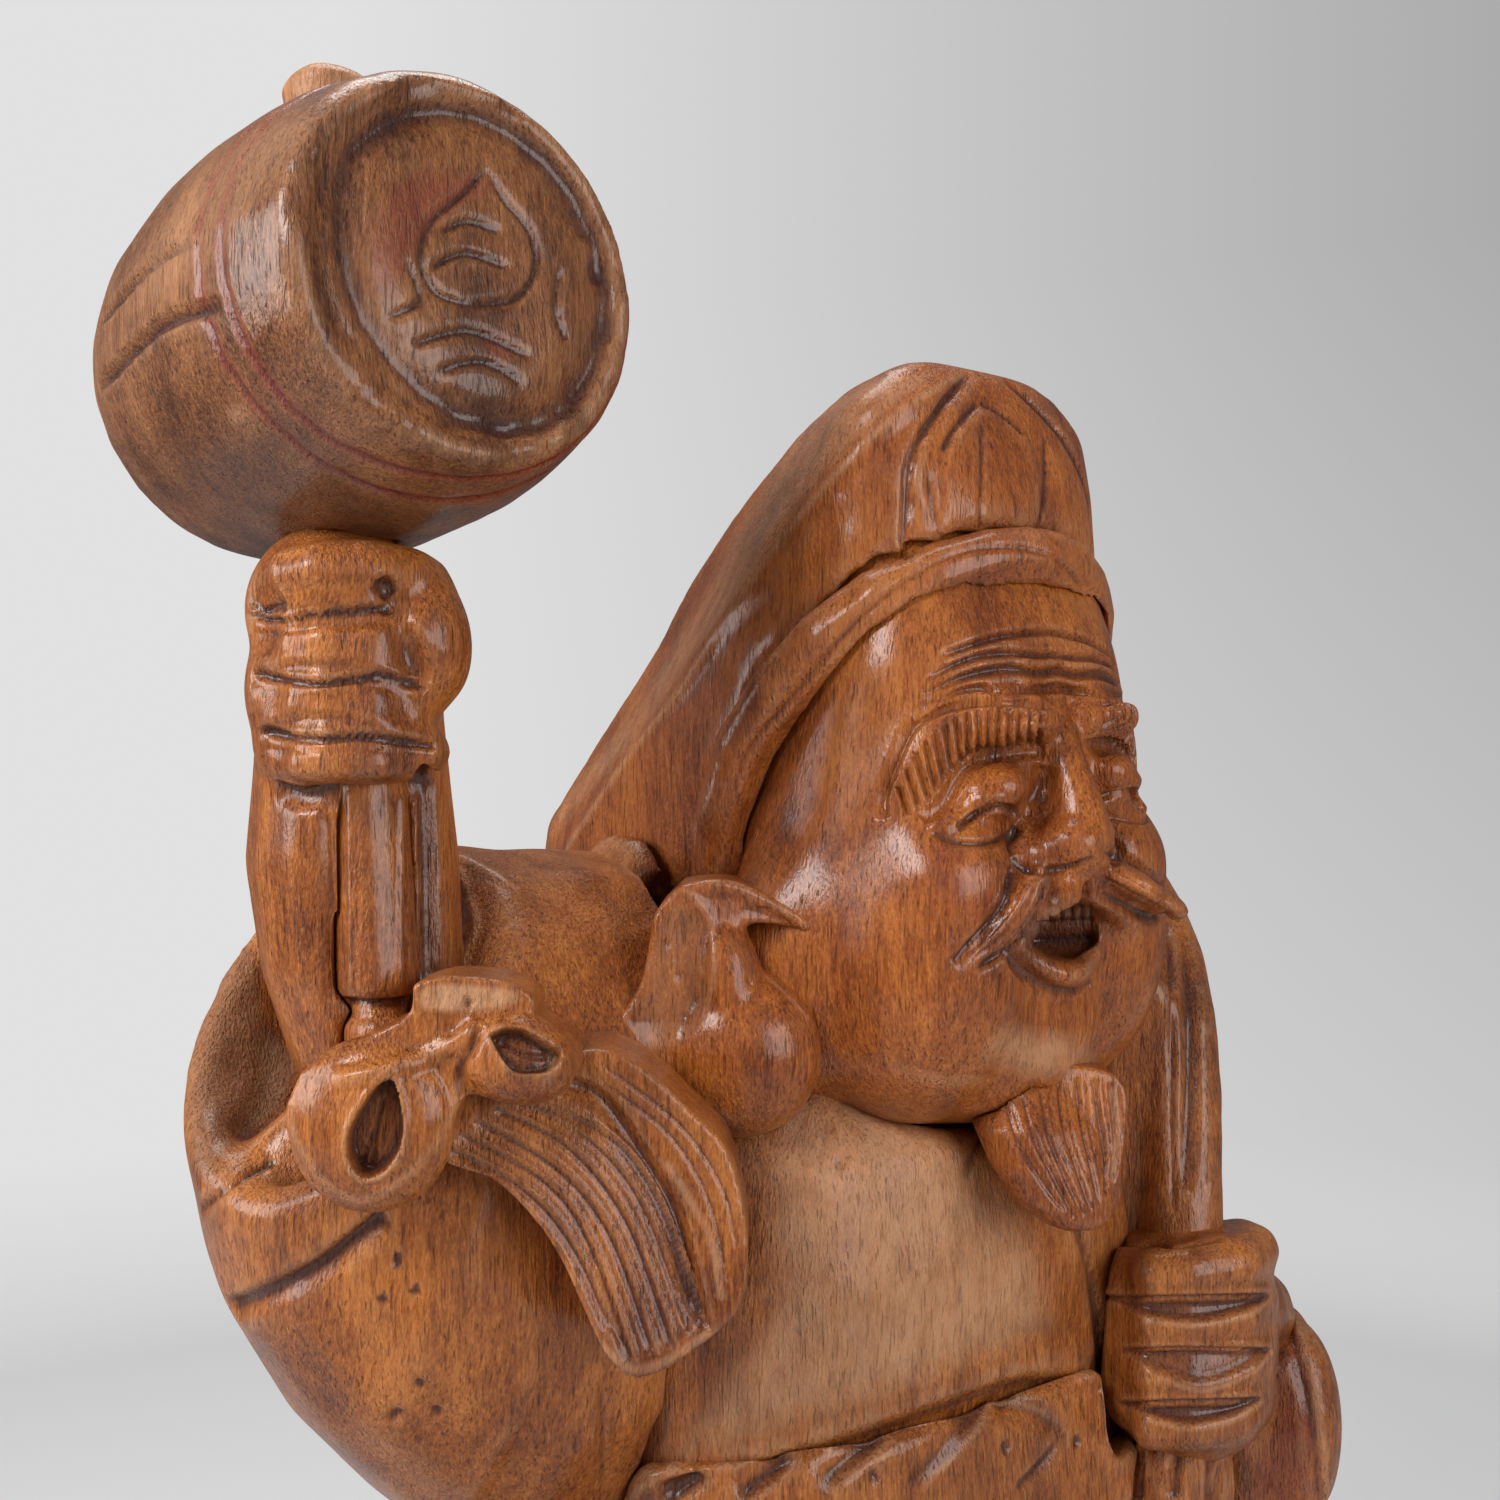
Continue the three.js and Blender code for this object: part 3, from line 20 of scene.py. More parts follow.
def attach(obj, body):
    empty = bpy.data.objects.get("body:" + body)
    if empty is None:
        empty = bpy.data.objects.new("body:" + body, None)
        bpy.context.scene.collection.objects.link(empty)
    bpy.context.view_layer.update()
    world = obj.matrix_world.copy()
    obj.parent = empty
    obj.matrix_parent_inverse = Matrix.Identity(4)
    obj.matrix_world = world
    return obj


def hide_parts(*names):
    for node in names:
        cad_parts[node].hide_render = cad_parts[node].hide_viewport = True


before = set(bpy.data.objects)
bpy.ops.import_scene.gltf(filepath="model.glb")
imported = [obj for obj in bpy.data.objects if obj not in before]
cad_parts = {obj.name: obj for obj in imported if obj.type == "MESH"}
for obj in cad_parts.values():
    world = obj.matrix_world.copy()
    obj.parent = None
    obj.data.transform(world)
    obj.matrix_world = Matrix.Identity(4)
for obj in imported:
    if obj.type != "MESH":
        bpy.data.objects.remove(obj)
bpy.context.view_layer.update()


def show(name, data):
    """A new object in the scene that shows a mesh, a camera or a lamp."""
    thing = bpy.data.objects.new(name, data)
    bpy.context.scene.collection.objects.link(thing)
    return thing


# %% [markdown]
# ## The camera comes first
#
# The picture was taken level, from the figure's right front, about half a metre away and a little
# above the hands. A camera could be framed by eye. Here its place and lens are written as numbers,
# because the same numbers later tell where a stroke seen in the picture lies on the wood.

# %% Set up the camera
PICTURE = 1500
LENS_PIXELS = 1700
HORIZON_ROW = 765
SENSOR_WIDTH = 36
VIEW_TURN = math.radians(-40)
CAMERA_PLACE = Vector((-0.34098, -0.36048, 0.487))

camera = show("camera", bpy.data.cameras.new("camera"))
camera.data.sensor_width = SENSOR_WIDTH
camera.data.lens = SENSOR_WIDTH * LENS_PIXELS / PICTURE
camera.data.shift_y = (HORIZON_ROW - PICTURE / 2) / PICTURE
camera.data.clip_start = 0.01
camera.location = CAMERA_PLACE
camera.rotation_euler = (math.radians(90), 0, VIEW_TURN)
bpy.context.scene.camera = camera
print("lens in mm:", round(camera.data.lens, 2))

# %% Turn a place in the picture into a direction
FORWARD = Vector((-math.sin(VIEW_TURN), math.cos(VIEW_TURN), 0))
RIGHTWARD = Vector((math.cos(VIEW_TURN), math.sin(VIEW_TURN), 0))


def sight(u, v):
    """The direction in which the camera sees column u and row v of the picture."""
    across = (u - PICTURE / 2) / LENS_PIXELS
    up = (HORIZON_ROW - v) / LENS_PIXELS
    return (FORWARD + RIGHTWARD * across + Vector((0, 0, up))).normalized()


print("middle of the picture looks along", tuple(round(value, 3) for value in sight(750, 750)))

# %% [markdown]
# ## A blank to carve
#
# A carver starts with a sawn block. Here the blank is mostly a copy of the CAD solid, whose loose
# triangles are merged first, with any rounder forms laid into it. A Remesh modifier gives all of them
# one even skin of small squares, as clay would. Box modelling would need every crease planned
# beforehand; an even skin takes a stroke anywhere, like wood under a gouge.

# %% Copy a CAD solid as a closed form
MM = 0.001
SAME_CORNER = 0.01 * MM


def merged_copy(node):
    """A bmesh of a CAD node with its loose triangles joined at their corners."""
    form = bmesh.new()
    form.from_mesh(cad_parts[node].data)
    bmesh.ops.remove_doubles(form, verts=form.verts, dist=SAME_CORNER)
    return form


def joined(forms):
    """One mesh that holds several bmesh forms side by side."""
    mesh = bpy.data.meshes.new("forms")
    whole = bmesh.new()
    for form in forms:
        form.to_mesh(mesh)
        whole.from_mesh(mesh)
        form.free()
    whole.to_mesh(mesh)
    whole.free()
    return mesh


# %% Skin the forms evenly
class Blank:
    """The dense skin of one block: its mesh, and its points in millimetres."""


def read_skin(blank):
    """Reads points and edges again after the mesh was made or divided."""
    mesh = blank.mesh
    flat = np.empty(len(mesh.vertices) * 3, np.float32)
    mesh.vertices.foreach_get("co", flat)
    blank.co = flat.reshape(-1, 3).astype(float) / MM
    ends = np.empty(len(mesh.edges) * 2, np.int32)
    mesh.edges.foreach_get("vertices", ends)
    blank.edges = ends.reshape(-1, 2)
    blank.links = np.bincount(ends, minlength=len(blank.co)).astype(float)
    blank.paint = {}


def skinned(name, mesh, cell):
    """A blank whose skin of squares, cell millimetres wide, wraps a mesh."""
    rough = show(name, mesh)
    remesh = rough.modifiers.new("skin", "REMESH")
    remesh.mode = "VOXEL"
    remesh.voxel_size = cell * MM
    bpy.context.view_layer.update()
    blank = Blank()
    blank.name = name
    blank.mesh = bpy.data.meshes.new_from_object(rough.evaluated_get(bpy.context.evaluated_depsgraph_get()))
    bpy.data.objects.remove(rough)
    read_skin(blank)
    return blank


FIRST_ROUNDS = 10


def make_blank(name, forms, cell, rounds, first=None):
    """An even skin round all the forms together, softened in some rounds.

    A coarser first skin, first millimetres wide, takes off the broad facets of a large block."""
    if isinstance(forms, str):
        forms = [merged_copy(forms)]
    mesh = joined(forms)
    if first:
        coarse = skinned(name, mesh, first)
        soften(coarse, FIRST_ROUNDS)
        normals(coarse)
        mesh = coarse.mesh
    blank = skinned(name, mesh, cell)
    print(name, "blank:", len(blank.co), "points")
    soften(blank, rounds)
    return blank


# %% Read the normals of a blank
def normals(blank):
    """The outward direction at every point, after the mesh has been given the current points."""
    blank.mesh.vertices.foreach_set("co", (blank.co * MM).astype(np.float32).ravel())
    blank.mesh.update()
    flat = np.empty(len(blank.co) * 3, np.float32)
    blank.mesh.vertex_normals.foreach_get("vector", flat)
    return flat.reshape(-1, 3).astype(float)


# %% [markdown]
# ## Smoothing without shrinking
#
# The skin still shows tiny steps of the remesh. Plain smoothing would shrink the figure. One step
# inwards followed by a slightly larger step outwards takes off the steps and leaves the size. The
# broad facets of the CAD solid go in the coarser first skin of a large block.

# %% Average neighbours
def averaged(blank, values):
    """For each point the mean of its neighbours' values."""
    first, second = blank.edges.T
    count = len(values)
    total = np.empty_like(values)
    for axis in range(values.shape[1]):
        column = values[:, axis]
        total[:, axis] = np.bincount(first, column[second], count) + np.bincount(second, column[first], count)
    return total / blank.links[:, None]


STEP_IN, STEP_OUT = 0.55, -0.57


def soften(blank, rounds, where=1.0):
    """Smooths the skin and keeps its size; where may be a weight for each point."""
    weight = where if np.isscalar(where) else where[:, None]
    for _ in range(rounds):
        for step in (STEP_IN, STEP_OUT):
            blank.co += step * weight * (averaged(blank, blank.co) - blank.co)


# %% [markdown]
# ## Strokes
#
# Nearly all the carving is made of strokes: a line along which the gouge sinks in and comes out
# again. A stroke here is a smooth path on the skin with a width and a depth, and points near the path
# move in along their normals. It may lean, with one steep and one flat side, as folds of cloth and
# the creases between fingers do. A negative depth raises a ridge.

# %% Smooth a path
def smooth_path(points, count):
    """A curve of count points through the given ones, rounded between them."""
    points = np.array(points, float)
    if len(points) == 2:
        return points[0] + np.linspace(0, 1, count)[:, None] * (points[1] - points[0])
    padded = np.vstack([2 * points[0] - points[1], points, 2 * points[-1] - points[-2]])
    spans = len(points) - 1
    place = np.linspace(0, spans, count)
    index = np.minimum(place.astype(int), spans - 1)
    t = (place - index)[:, None]
    a, b, c, d = (padded[index + k] for k in range(4))
    return 0.5 * (2 * b + (c - a) * t + (2 * a - 5 * b + 4 * c - d) * t**2 + (3 * b - a - 3 * c + d) * t**3)


# %% Find the skin under a place in the picture
def surface(blank):
    """A search tree of the current skin, for rays and nearest points."""
    normals(blank)
    form = bmesh.new()
    form.from_mesh(blank.mesh)
    tree = BVHTree.FromBMesh(form)
    form.free()
    return tree


def seen(tree, places, count=24):
    """A path on the skin under places (u, v) of the picture."""
    path = []
    for u, v in smooth_path(places, count):
        hit = tree.ray_cast(CAMERA_PLACE, sight(u, v))[0]
        if hit is not None:
            path.append(np.array(hit) / MM)
    if len(path) < 2:
        return None
    return np.array(path)


def laid(tree, points, count=24):
    """A path on the skin nearest to the given points in millimetres."""
    path = []
    for point in smooth_path(points, count):
        path.append(np.array(tree.find_nearest(Vector(point * MM))[0]) / MM)
    return np.array(path)


def mirrored(tree, path, rise=0):
    """The same path on the other side of the figure, rise millimetres higher, laid on the skin."""
    return laid(tree, path * (-1, 1, 1) + (0, 0, rise), len(path))


# %% Measure the skin against a path
SAME_PLACE = 1e-6


def beside(blank, path, reach):
    """Points within reach of a path: their numbers, distance, place along it (0 to 1) and side vector."""
    low, high = path.min(0) - reach, path.max(0) + reach
    pick = np.flatnonzero(((blank.co > low) & (blank.co < high)).all(1))
    point = blank.co[pick]
    best = np.full(len(pick), np.inf)
    place = np.zeros(len(pick))
    off = np.zeros((len(pick), 3))
    way = np.zeros((len(pick), 3))
    lengths = np.linalg.norm(np.diff(path, axis=0), axis=1)
    before = np.concatenate([[0], np.cumsum(lengths)])
    for index, length in enumerate(lengths):
        if length < SAME_PLACE:
            continue
        run = (path[index + 1] - path[index]) / length
        walked = np.clip((point - path[index]) @ run, 0, length)
        gap = point - path[index] - walked[:, None] * run
        far = np.linalg.norm(gap, axis=1)
        nearer = far < best
        best[nearer] = far[nearer]
        place[nearer] = (before[index] + walked[nearer]) / before[-1]
        off[nearer] = gap[nearer]
        way[nearer] = run
    near = best < reach
    return pick[near], best[near], place[near], off[near], way[near]


# %% Cut one stroke
def stroke(blank, path, width, depth, lean=0.0, ends=0.25, power=1.6):
    """Sinks a groove, width wide and depth deep in millimetres, along a path; ends is the taper.

    lean from -1 to 1 makes one side flat and the other steep."""
    if path is None:
        return
    pick, far, place, off, way = beside(blank, path, width * (1 + abs(lean)))
    if len(pick) == 0:
        return
    outward = normals(blank)[pick]
    side = np.einsum("ij,ij->i", off, np.cross(way, outward))
    half = 0.5 * width * (1 + lean * np.sign(side))
    if ends:
        taper = np.clip(np.minimum(place, 1 - place) / ends, 0, 1)
        taper = np.sqrt(taper * (2 - taper))
    else:
        taper = np.ones(len(pick))
    fall = np.clip(1 - far / np.maximum(half, 0.01), 0, 1)
    amount = depth * taper * (1 - (1 - fall) ** power) ** power
    blank.co[pick] -= outward * amount[:, None]


def pair(blank, tree, path, width, depth, rise=0, **shape):
    """A stroke and its mirror image on the far side, both laid on the skin of the tree."""
    for side in (path, mirrored(tree, path, rise)):
        stroke(blank, laid(tree, side, len(side)), width, depth, **shape)


# %% Raise or sink a round place
def swell(blank, centre, size, height):
    """Moves the skin out by height round a centre, size millimetres across in x, y and z."""
    gap = (blank.co - np.array(centre, float)) / (np.array(size, float) * 0.5)
    far = np.linalg.norm(gap, axis=1)
    pick = np.flatnonzero(far < 1)
    outward = normals(blank)[pick]
    blank.co[pick] += outward * (height * (1 - far[pick] ** 2) ** 2)[:, None]


# %% Paint a mark on the skin
PAINT_CORE = 1.4


def lay_on(blank, mark, amounts):
    """Adds amounts, one for each point, to a painted mark, which keeps the larger."""
    blank.paint[mark] = np.maximum(blank.paint.get(mark, 0), amounts)


def paint(blank, mark, path, reach, amount):
    """Adds to a painted mark, such as the pale mark of wear and painted highlights, or red pigment, beside a
    path.
    """
    if path is None:
        return
    pick, far = beside(blank, path, reach)[:2]
    shade = np.zeros(len(blank.co))
    shade[pick] = amount * np.clip(PAINT_CORE * (1 - far / reach), 0, 1)
    lay_on(blank, mark, shade)


# %% Divide the skin where fine strokes come
def refine(blank, low, high):
    """Halves the squares of the skin between two corners in millimetres."""
    normals(blank)
    form = bmesh.new()
    form.from_mesh(blank.mesh)
    low, high = Vector(low) * MM, Vector(high) * MM
    inside = {vert for vert in form.verts if all(low[k] < vert.co[k] < high[k] for k in range(3))}
    edges = [edge for edge in form.edges if edge.verts[0] in inside and edge.verts[1] in inside]
    bmesh.ops.subdivide_edges(form, edges=edges, cuts=1, use_grid_fill=True)
    form.to_mesh(blank.mesh)
    form.free()
    read_skin(blank)
    print(blank.name, "refined to", len(blank.co), "points")


# %% [markdown]
# ## Hollows and edges
#
# Here the hollows of the carving are darkened with old stain and painted shade, and hands rub the
# varnish off its edges. Both need to know where the skin lies below or above its surroundings.
# Comparing each point with a smoothed copy of the skin gives just that, and the answer is stored on the piece
# as two attributes.

# %% Measure hollows and edges, and finish a piece
CALM_STEP = 0.6
FINE_ROUNDS, BROAD_ROUNDS = 6, 40
FINE_HOLLOW, BROAD_HOLLOW = 0.35, 1.6
FINE_EDGE, BROAD_EDGE = 0.3, 1.4
HOLLOW_SHARE = 0.6


def relief(blank, rounds):
    """How far each point stands out of the smoothed skin, in millimetres."""
    calm = blank.co.copy()
    for _ in range(rounds):
        calm += CALM_STEP * (averaged(blank, calm) - calm)
    return np.einsum("ij,ij->i", blank.co - calm, normals(blank))


def store(mesh, name, values):
    """Keeps a number for each point of a mesh."""
    layer = mesh.attributes.new(name, "FLOAT", "POINT")
    layer.data.foreach_set("value", values.astype(np.float32))


MARKS = ("pale", "pigment", "shade")


def finish_piece(blank, node, material):
    """Makes the carved skin a piece of the figure that stands for its CAD node."""
    fine, broad = relief(blank, FINE_ROUNDS), relief(blank, BROAD_ROUNDS)
    normals(blank)
    mesh = blank.mesh
    mesh.name = blank.name
    hollows = np.clip(-fine / FINE_HOLLOW, 0, 1) + np.clip(-broad / BROAD_HOLLOW, 0, 1)
    store(mesh, "recess", HOLLOW_SHARE * hollows)
    store(mesh, "edge", np.clip(fine / FINE_EDGE, 0, 1) * 0.5 + np.clip(broad / BROAD_EDGE - 0.1, 0, 1) * 0.6)
    for mark in MARKS:
        store(mesh, mark, blank.paint.get(mark, np.zeros(len(blank.co))))
    mesh.shade_smooth()
    mesh.materials.clear()
    mesh.materials.append(material)
    piece = show(blank.name, mesh)
    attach(piece, "root")
    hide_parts(node)
    triangles = sum(len(face.vertices) - 2 for face in mesh.polygons)
    print(blank.name, "finished:", triangles, "triangles")


# %% [markdown]
# ## Wood, varnish and wear
#
# Every block is the same reddish brown hardwood: long grain that runs up the figure, short dark
# pores along it, a satin varnish that sparkles where the pores break it, dark stain and painted shade
# in the hollows, and pale rubbed edges with painted highlights. These effects are shared, so each is
# one node group with named inputs, placed in every wood with its own values. The shader itself stays in the
# material.

# %% Small helpers for node trees
def add_node(tree, kind, **values):
    """A node with its settings and unlinked inputs given by name."""
    node = tree.nodes.new(kind)
    for name, value in values.items():
        if name.startswith("in_"):
            node.inputs[name[3:].replace("_", " ")].default_value = value
        else:
            setattr(node, name, value)
    return node


def effect_group(name, inputs, outputs):
    """An empty node group with named sockets, and its two end nodes."""
    tree = bpy.data.node_groups.new(name, "ShaderNodeTree")
    for label, kind, value in inputs:
        socket = tree.interface.new_socket(name=label, in_out="INPUT", socket_type=kind)
        if value is not None:
            socket.default_value = value
    for label, kind in outputs:
        tree.interface.new_socket(name=label, in_out="OUTPUT", socket_type=kind)
    return tree, tree.nodes.new("NodeGroupInput"), tree.nodes.new("NodeGroupOutput")


VECTOR, FLOAT = "NodeSocketVector", "NodeSocketFloat"


def maths(tree, operation, first, second):
    """A Math node; each operand is a socket or a number."""
    node = tree.nodes.new("ShaderNodeMath")
    node.operation = operation
    for index, value in enumerate((first, second)):
        if isinstance(value, (int, float)):
            node.inputs[index].default_value = value
        else:
            tree.links.new(value, node.inputs[index])
    return node.outputs[0]


def ranged(tree, value, low, high, bottom=0.0, top=1.0):
    """A Map Range node that stays inside its new limits."""
    node = add_node(tree, "ShaderNodeMapRange", clamp=True, in_From_Min=low, in_From_Max=high)
    node.inputs["To Min"].default_value = bottom
    node.inputs["To Max"].default_value = top
    tree.links.new(value, node.inputs["Value"])
    return node.outputs["Result"]


# %% Group: long grain and pores
def noise(tree, place, scale, detail, stretch, rough):
    """A noise value at a place that is stretched first."""
    mapping = add_node(tree, "ShaderNodeMapping", in_Scale=stretch)
    tree.links.new(place, mapping.inputs["Vector"])
    texture = add_node(tree, "ShaderNodeTexNoise", in_Scale=scale, in_Detail=detail, in_Roughness=rough)
    tree.links.new(mapping.outputs["Vector"], texture.inputs["Vector"])
    return texture.outputs["Fac"]


grain, entry, leave = effect_group(
    "long_grain",
    [("Place", VECTOR, None)],
    [("Tone", FLOAT), ("Pores", FLOAT), ("Height", FLOAT)],
)
place = entry.outputs["Place"]
bands = noise(grain, place, 95, 3, (1, 1, 0.09), 0.6)
threads = noise(grain, place, 1000, 2, (1, 1, 0.11), 0.6)
clouds = noise(grain, place, 26, 6, (1, 1, 0.7), 0.7)
flecks = noise(grain, place, 2300, 1, (1, 1, 0.3), 0.5)
tone = maths(grain, "MULTIPLY", bands, 0.28)
for texture, share in ((threads, 0.27), (clouds, 0.45), (flecks, 0.2)):
    tone = maths(grain, "ADD", tone, maths(grain, "MULTIPLY", texture, share))
tone = ranged(grain, tone, 0.49, 0.71)
pore = ranged(grain, noise(grain, place, 1500, 1, (1, 1, 0.08), 0.5), 0.62, 0.72)
grain.links.new(tone, leave.inputs["Tone"])
grain.links.new(pore, leave.inputs["Pores"])
height = maths(grain, "SUBTRACT", maths(grain, "MULTIPLY", threads, 0.5), maths(grain, "MULTIPLY", pore, 0.6))
grain.links.new(height, leave.inputs["Height"])
print("grain group:", len(grain.nodes), "nodes")

# %% Group: stain and painted shade that gather in hollows
stain, entry, leave = effect_group(
    "hollow_stain",
    [("Place", VECTOR, None), ("Recess", FLOAT, 0.0), ("Amount", FLOAT, 1.0)],
    [("Mask", FLOAT)],
)
patches = noise(stain, entry.outputs["Place"], 60, 4, (1, 1, 0.5), 0.6)
depth_seen = maths(stain, "MULTIPLY", entry.outputs["Recess"], ranged(stain, patches, 0.25, 0.6, 0.55, 1.25))
mask = ranged(stain, depth_seen, 0.06, 0.85)
stain.links.new(maths(stain, "MULTIPLY", mask, entry.outputs["Amount"]), leave.inputs["Mask"])

# %% Group: rubbed edges, and pale patches of wear and painted highlights
wear_and_highlights, entry, leave = effect_group(
    "rubbed_edges_and_highlights",
    [("Place", VECTOR, None), ("Edge", FLOAT, 0.0), ("Pale", FLOAT, 0.0), ("Amount", FLOAT, 1.0)],
    [("Mask", FLOAT)],
)
scuffs = noise(wear_and_highlights, entry.outputs["Place"], 170, 5, (1, 1, 0.45), 0.7)
rubbed = maths(wear_and_highlights, "MULTIPLY", entry.outputs["Edge"], ranged(wear_and_highlights, scuffs, 0.4, 0.62, 0.1, 1.0))
patch = maths(wear_and_highlights, "MULTIPLY", entry.outputs["Pale"], ranged(wear_and_highlights, scuffs, 0.3, 0.6, 0.35, 1.0))
wear_and_highlight_mask = maths(wear_and_highlights, "MAXIMUM", maths(wear_and_highlights, "MULTIPLY", rubbed, entry.outputs["Amount"]), patch)
wear_and_highlights.links.new(wear_and_highlight_mask, leave.inputs["Mask"])

# %% Group: the broken gloss of old varnish
gloss, entry, leave = effect_group(
    "broken_varnish",
    [("Place", VECTOR, None), ("Pores", FLOAT, 0.0), ("Dull", FLOAT, 0.0)],
    [("Roughness", FLOAT), ("Coat", FLOAT), ("Height", FLOAT)],
)
place = entry.outputs["Place"]
specks = noise(gloss, place, 1500, 2, (1, 1, 0.35), 0.6)
haze = noise(gloss, place, 45, 3, (1, 1, 0.7), 0.6)
hazy = ranged(gloss, haze, 0.3, 0.7, 0.3, 0.42)
rough = maths(gloss, "ADD", hazy, ranged(gloss, specks, 0.4, 0.7, 0.0, 0.2))
rough = maths(gloss, "ADD", rough, maths(gloss, "MULTIPLY", entry.outputs["Dull"], 0.28))
gloss.links.new(rough, leave.inputs["Roughness"])
shine = maths(gloss, "SUBTRACT", 0.55, maths(gloss, "MULTIPLY", entry.outputs["Dull"], 0.5))
shine = maths(gloss, "SUBTRACT", shine, maths(gloss, "MULTIPLY", entry.outputs["Pores"], 0.4))
gloss.links.new(ranged(gloss, shine, 0.0, 1.0), leave.inputs["Coat"])
gloss.links.new(specks, leave.inputs["Height"])


# %% [markdown]
# ## One recipe for each wood
#
# A wood is a mixture of three browns: the deep tone of its dark grain, its middle tone and its pale
# tone. The stain with painted shade, and the wear with painted highlights, are laid over it, then red
# pigment where traces of it are left. The colours differ a little from block to block, as they do on
# the figure, whose blocks took the stain differently.

# %% Make a wood
def rgba(red, green, blue):
    """A colour given as a picture program shows it, 0 to 255, in linear light."""
    linear = [((c / 255 + 0.055) / 1.055) ** 2.4 if c > 10 else c / 3295 for c in (red, green, blue)]
    return (*linear, 1.0)


def blend_colours(tree, mask, first, second):
    """Mixes two colours, each a socket or a value, by a mask."""
    node = add_node(tree, "ShaderNodeMix", data_type="RGBA")
    for index, value in ((0, mask), (6, first), (7, second)):
        if isinstance(value, (tuple, float, int)):
            node.inputs[index].default_value = value
        else:
            tree.links.new(value, node.inputs[index])
    return node.outputs[2]


# A dark brown for real stain and pores, also used as painted shade in the hollows and under the shade mark.
STAIN_AND_SHADE_COLOUR = rgba(64, 34, 30)
# A pale tan for rubbed wear, also used for the painted highlights and sheen of the pale mark.
WEAR_AND_HIGHLIGHT_COLOUR = rgba(206, 158, 120)
PIGMENT_COLOUR = rgba(136, 50, 34)
COAT_ROUGHNESS = 0.18
UNDER_COAT_SHINE = 0.22
WOOD_RELIEF, COAT_RELIEF = 0.9, 0.1
PORE_DEPTH = 0.8 * MM


def make_wood(name, deep, middle, pale, stain_and_shade_share=0.8, worn=0.55):
    """A varnished wood with upright grain in three tones; the two shares set how strongly the hollows take
    stain and painted shade and the edges take wear.
    """
    material = bpy.data.materials.new(name)
    material.use_nodes = True
    tree = material.node_tree
    shader = tree.nodes["Principled BSDF"]
    link = tree.links.new
    place = add_node(tree, "ShaderNodeTexCoord").outputs["Object"]
    read = {}
    for mark in ("recess", "edge") + MARKS:
        read[mark] = add_node(tree, "ShaderNodeAttribute", attribute_name=mark).outputs["Fac"]
    effects = [add_node(tree, "ShaderNodeGroup", node_tree=group) for group in (grain, stain, wear_and_highlights, gloss)]
    for node in effects:
        link(place, node.inputs["Place"])
    long_grain, hollow, rubbed, varnish = effects
    hollow.inputs["Amount"].default_value = stain_and_shade_share
    rubbed.inputs["Amount"].default_value = worn
    link(read["recess"], hollow.inputs["Recess"])
    link(read["edge"], rubbed.inputs["Edge"])
    link(read["pale"], rubbed.inputs["Pale"])
    link(long_grain.outputs["Pores"], varnish.inputs["Pores"])
    link(rubbed.outputs["Mask"], varnish.inputs["Dull"])
    low = ranged(tree, long_grain.outputs["Tone"], 0.0, 0.5)
    high = ranged(tree, long_grain.outputs["Tone"], 0.5, 1.0)
    colour = blend_colours(tree, high, blend_colours(tree, low, deep, middle), pale)
    # Pores and red pigment are the wood's own colour; the hollow mask lays stain and painted shade, the shade
    # mark lays painted shade, and the rubbed mask lays wear and the painted highlights of the pale mark.
    for mask, share, layer in (
        (long_grain.outputs["Pores"], 0.4, STAIN_AND_SHADE_COLOUR),
        (read["pigment"], 0.8, PIGMENT_COLOUR),
        (hollow.outputs["Mask"], 1.0, STAIN_AND_SHADE_COLOUR),
        (read["shade"], 0.75, STAIN_AND_SHADE_COLOUR),
        (rubbed.outputs["Mask"], 0.75, WEAR_AND_HIGHLIGHT_COLOUR),
    ):
        colour = blend_colours(tree, maths(tree, "MULTIPLY", mask, share), colour, layer)
    link(colour, shader.inputs["Base Color"])
    link(varnish.outputs["Roughness"], shader.inputs["Roughness"])
    link(varnish.outputs["Coat"], shader.inputs["Coat Weight"])
    shader.inputs["Coat Roughness"].default_value = COAT_ROUGHNESS
    shader.inputs["Specular IOR Level"].default_value = UNDER_COAT_SHINE
    height = maths(tree, "ADD", long_grain.outputs["Height"], varnish.outputs["Height"])
    for strength, target in ((WOOD_RELIEF, "Normal"), (COAT_RELIEF, "Coat Normal")):
        bump = add_node(tree, "ShaderNodeBump", in_Strength=strength, in_Distance=PORE_DEPTH)
        link(height, bump.inputs["Height"])
        link(bump.outputs["Normal"], shader.inputs[target])
    return material


# %% Name the woods of the figure
figure_wood = make_wood("figure_wood", rgba(98, 44, 12), rgba(148, 80, 28), rgba(186, 112, 48))
face_wood = make_wood("face_wood", rgba(104, 46, 12), rgba(154, 80, 26), rgba(188, 110, 44), worn=0.5)
hat_wood = make_wood("hat_wood", rgba(100, 44, 12), rgba(152, 78, 26), rgba(184, 106, 42))
mallet_wood = make_wood("mallet_wood", rgba(82, 42, 18), rgba(130, 78, 42), rgba(162, 106, 62))
dark_wood = make_wood("dark_wood", rgba(78, 36, 16), rgba(124, 64, 30), rgba(160, 92, 50))
PEG_TONES = rgba(150, 106, 66), rgba(190, 148, 100), rgba(214, 178, 132)
peg_wood = make_wood("peg_wood", *PEG_TONES, stain_and_shade_share=0.3, worn=0.1)
print("woods:", [material.name for material in bpy.data.materials if "wood" in material.name])

# %% [markdown]
# ## Forms and areas told by the picture
#
# Some masses of the figure are rounder or broader than their CAD solids: the lobe of an ear, a loop
# of the bow. A carver would leave them standing in the wood. Here a pebble or a board is laid into
# the blank before it is skinned, placed as the camera sees it. In the same way an area inside an
# outline can be sunk or raised as a whole, as a carver grounds out a field between two cuts.

# %% Lay pebbles and boards into a blank
BOARD_CORNERS = 64


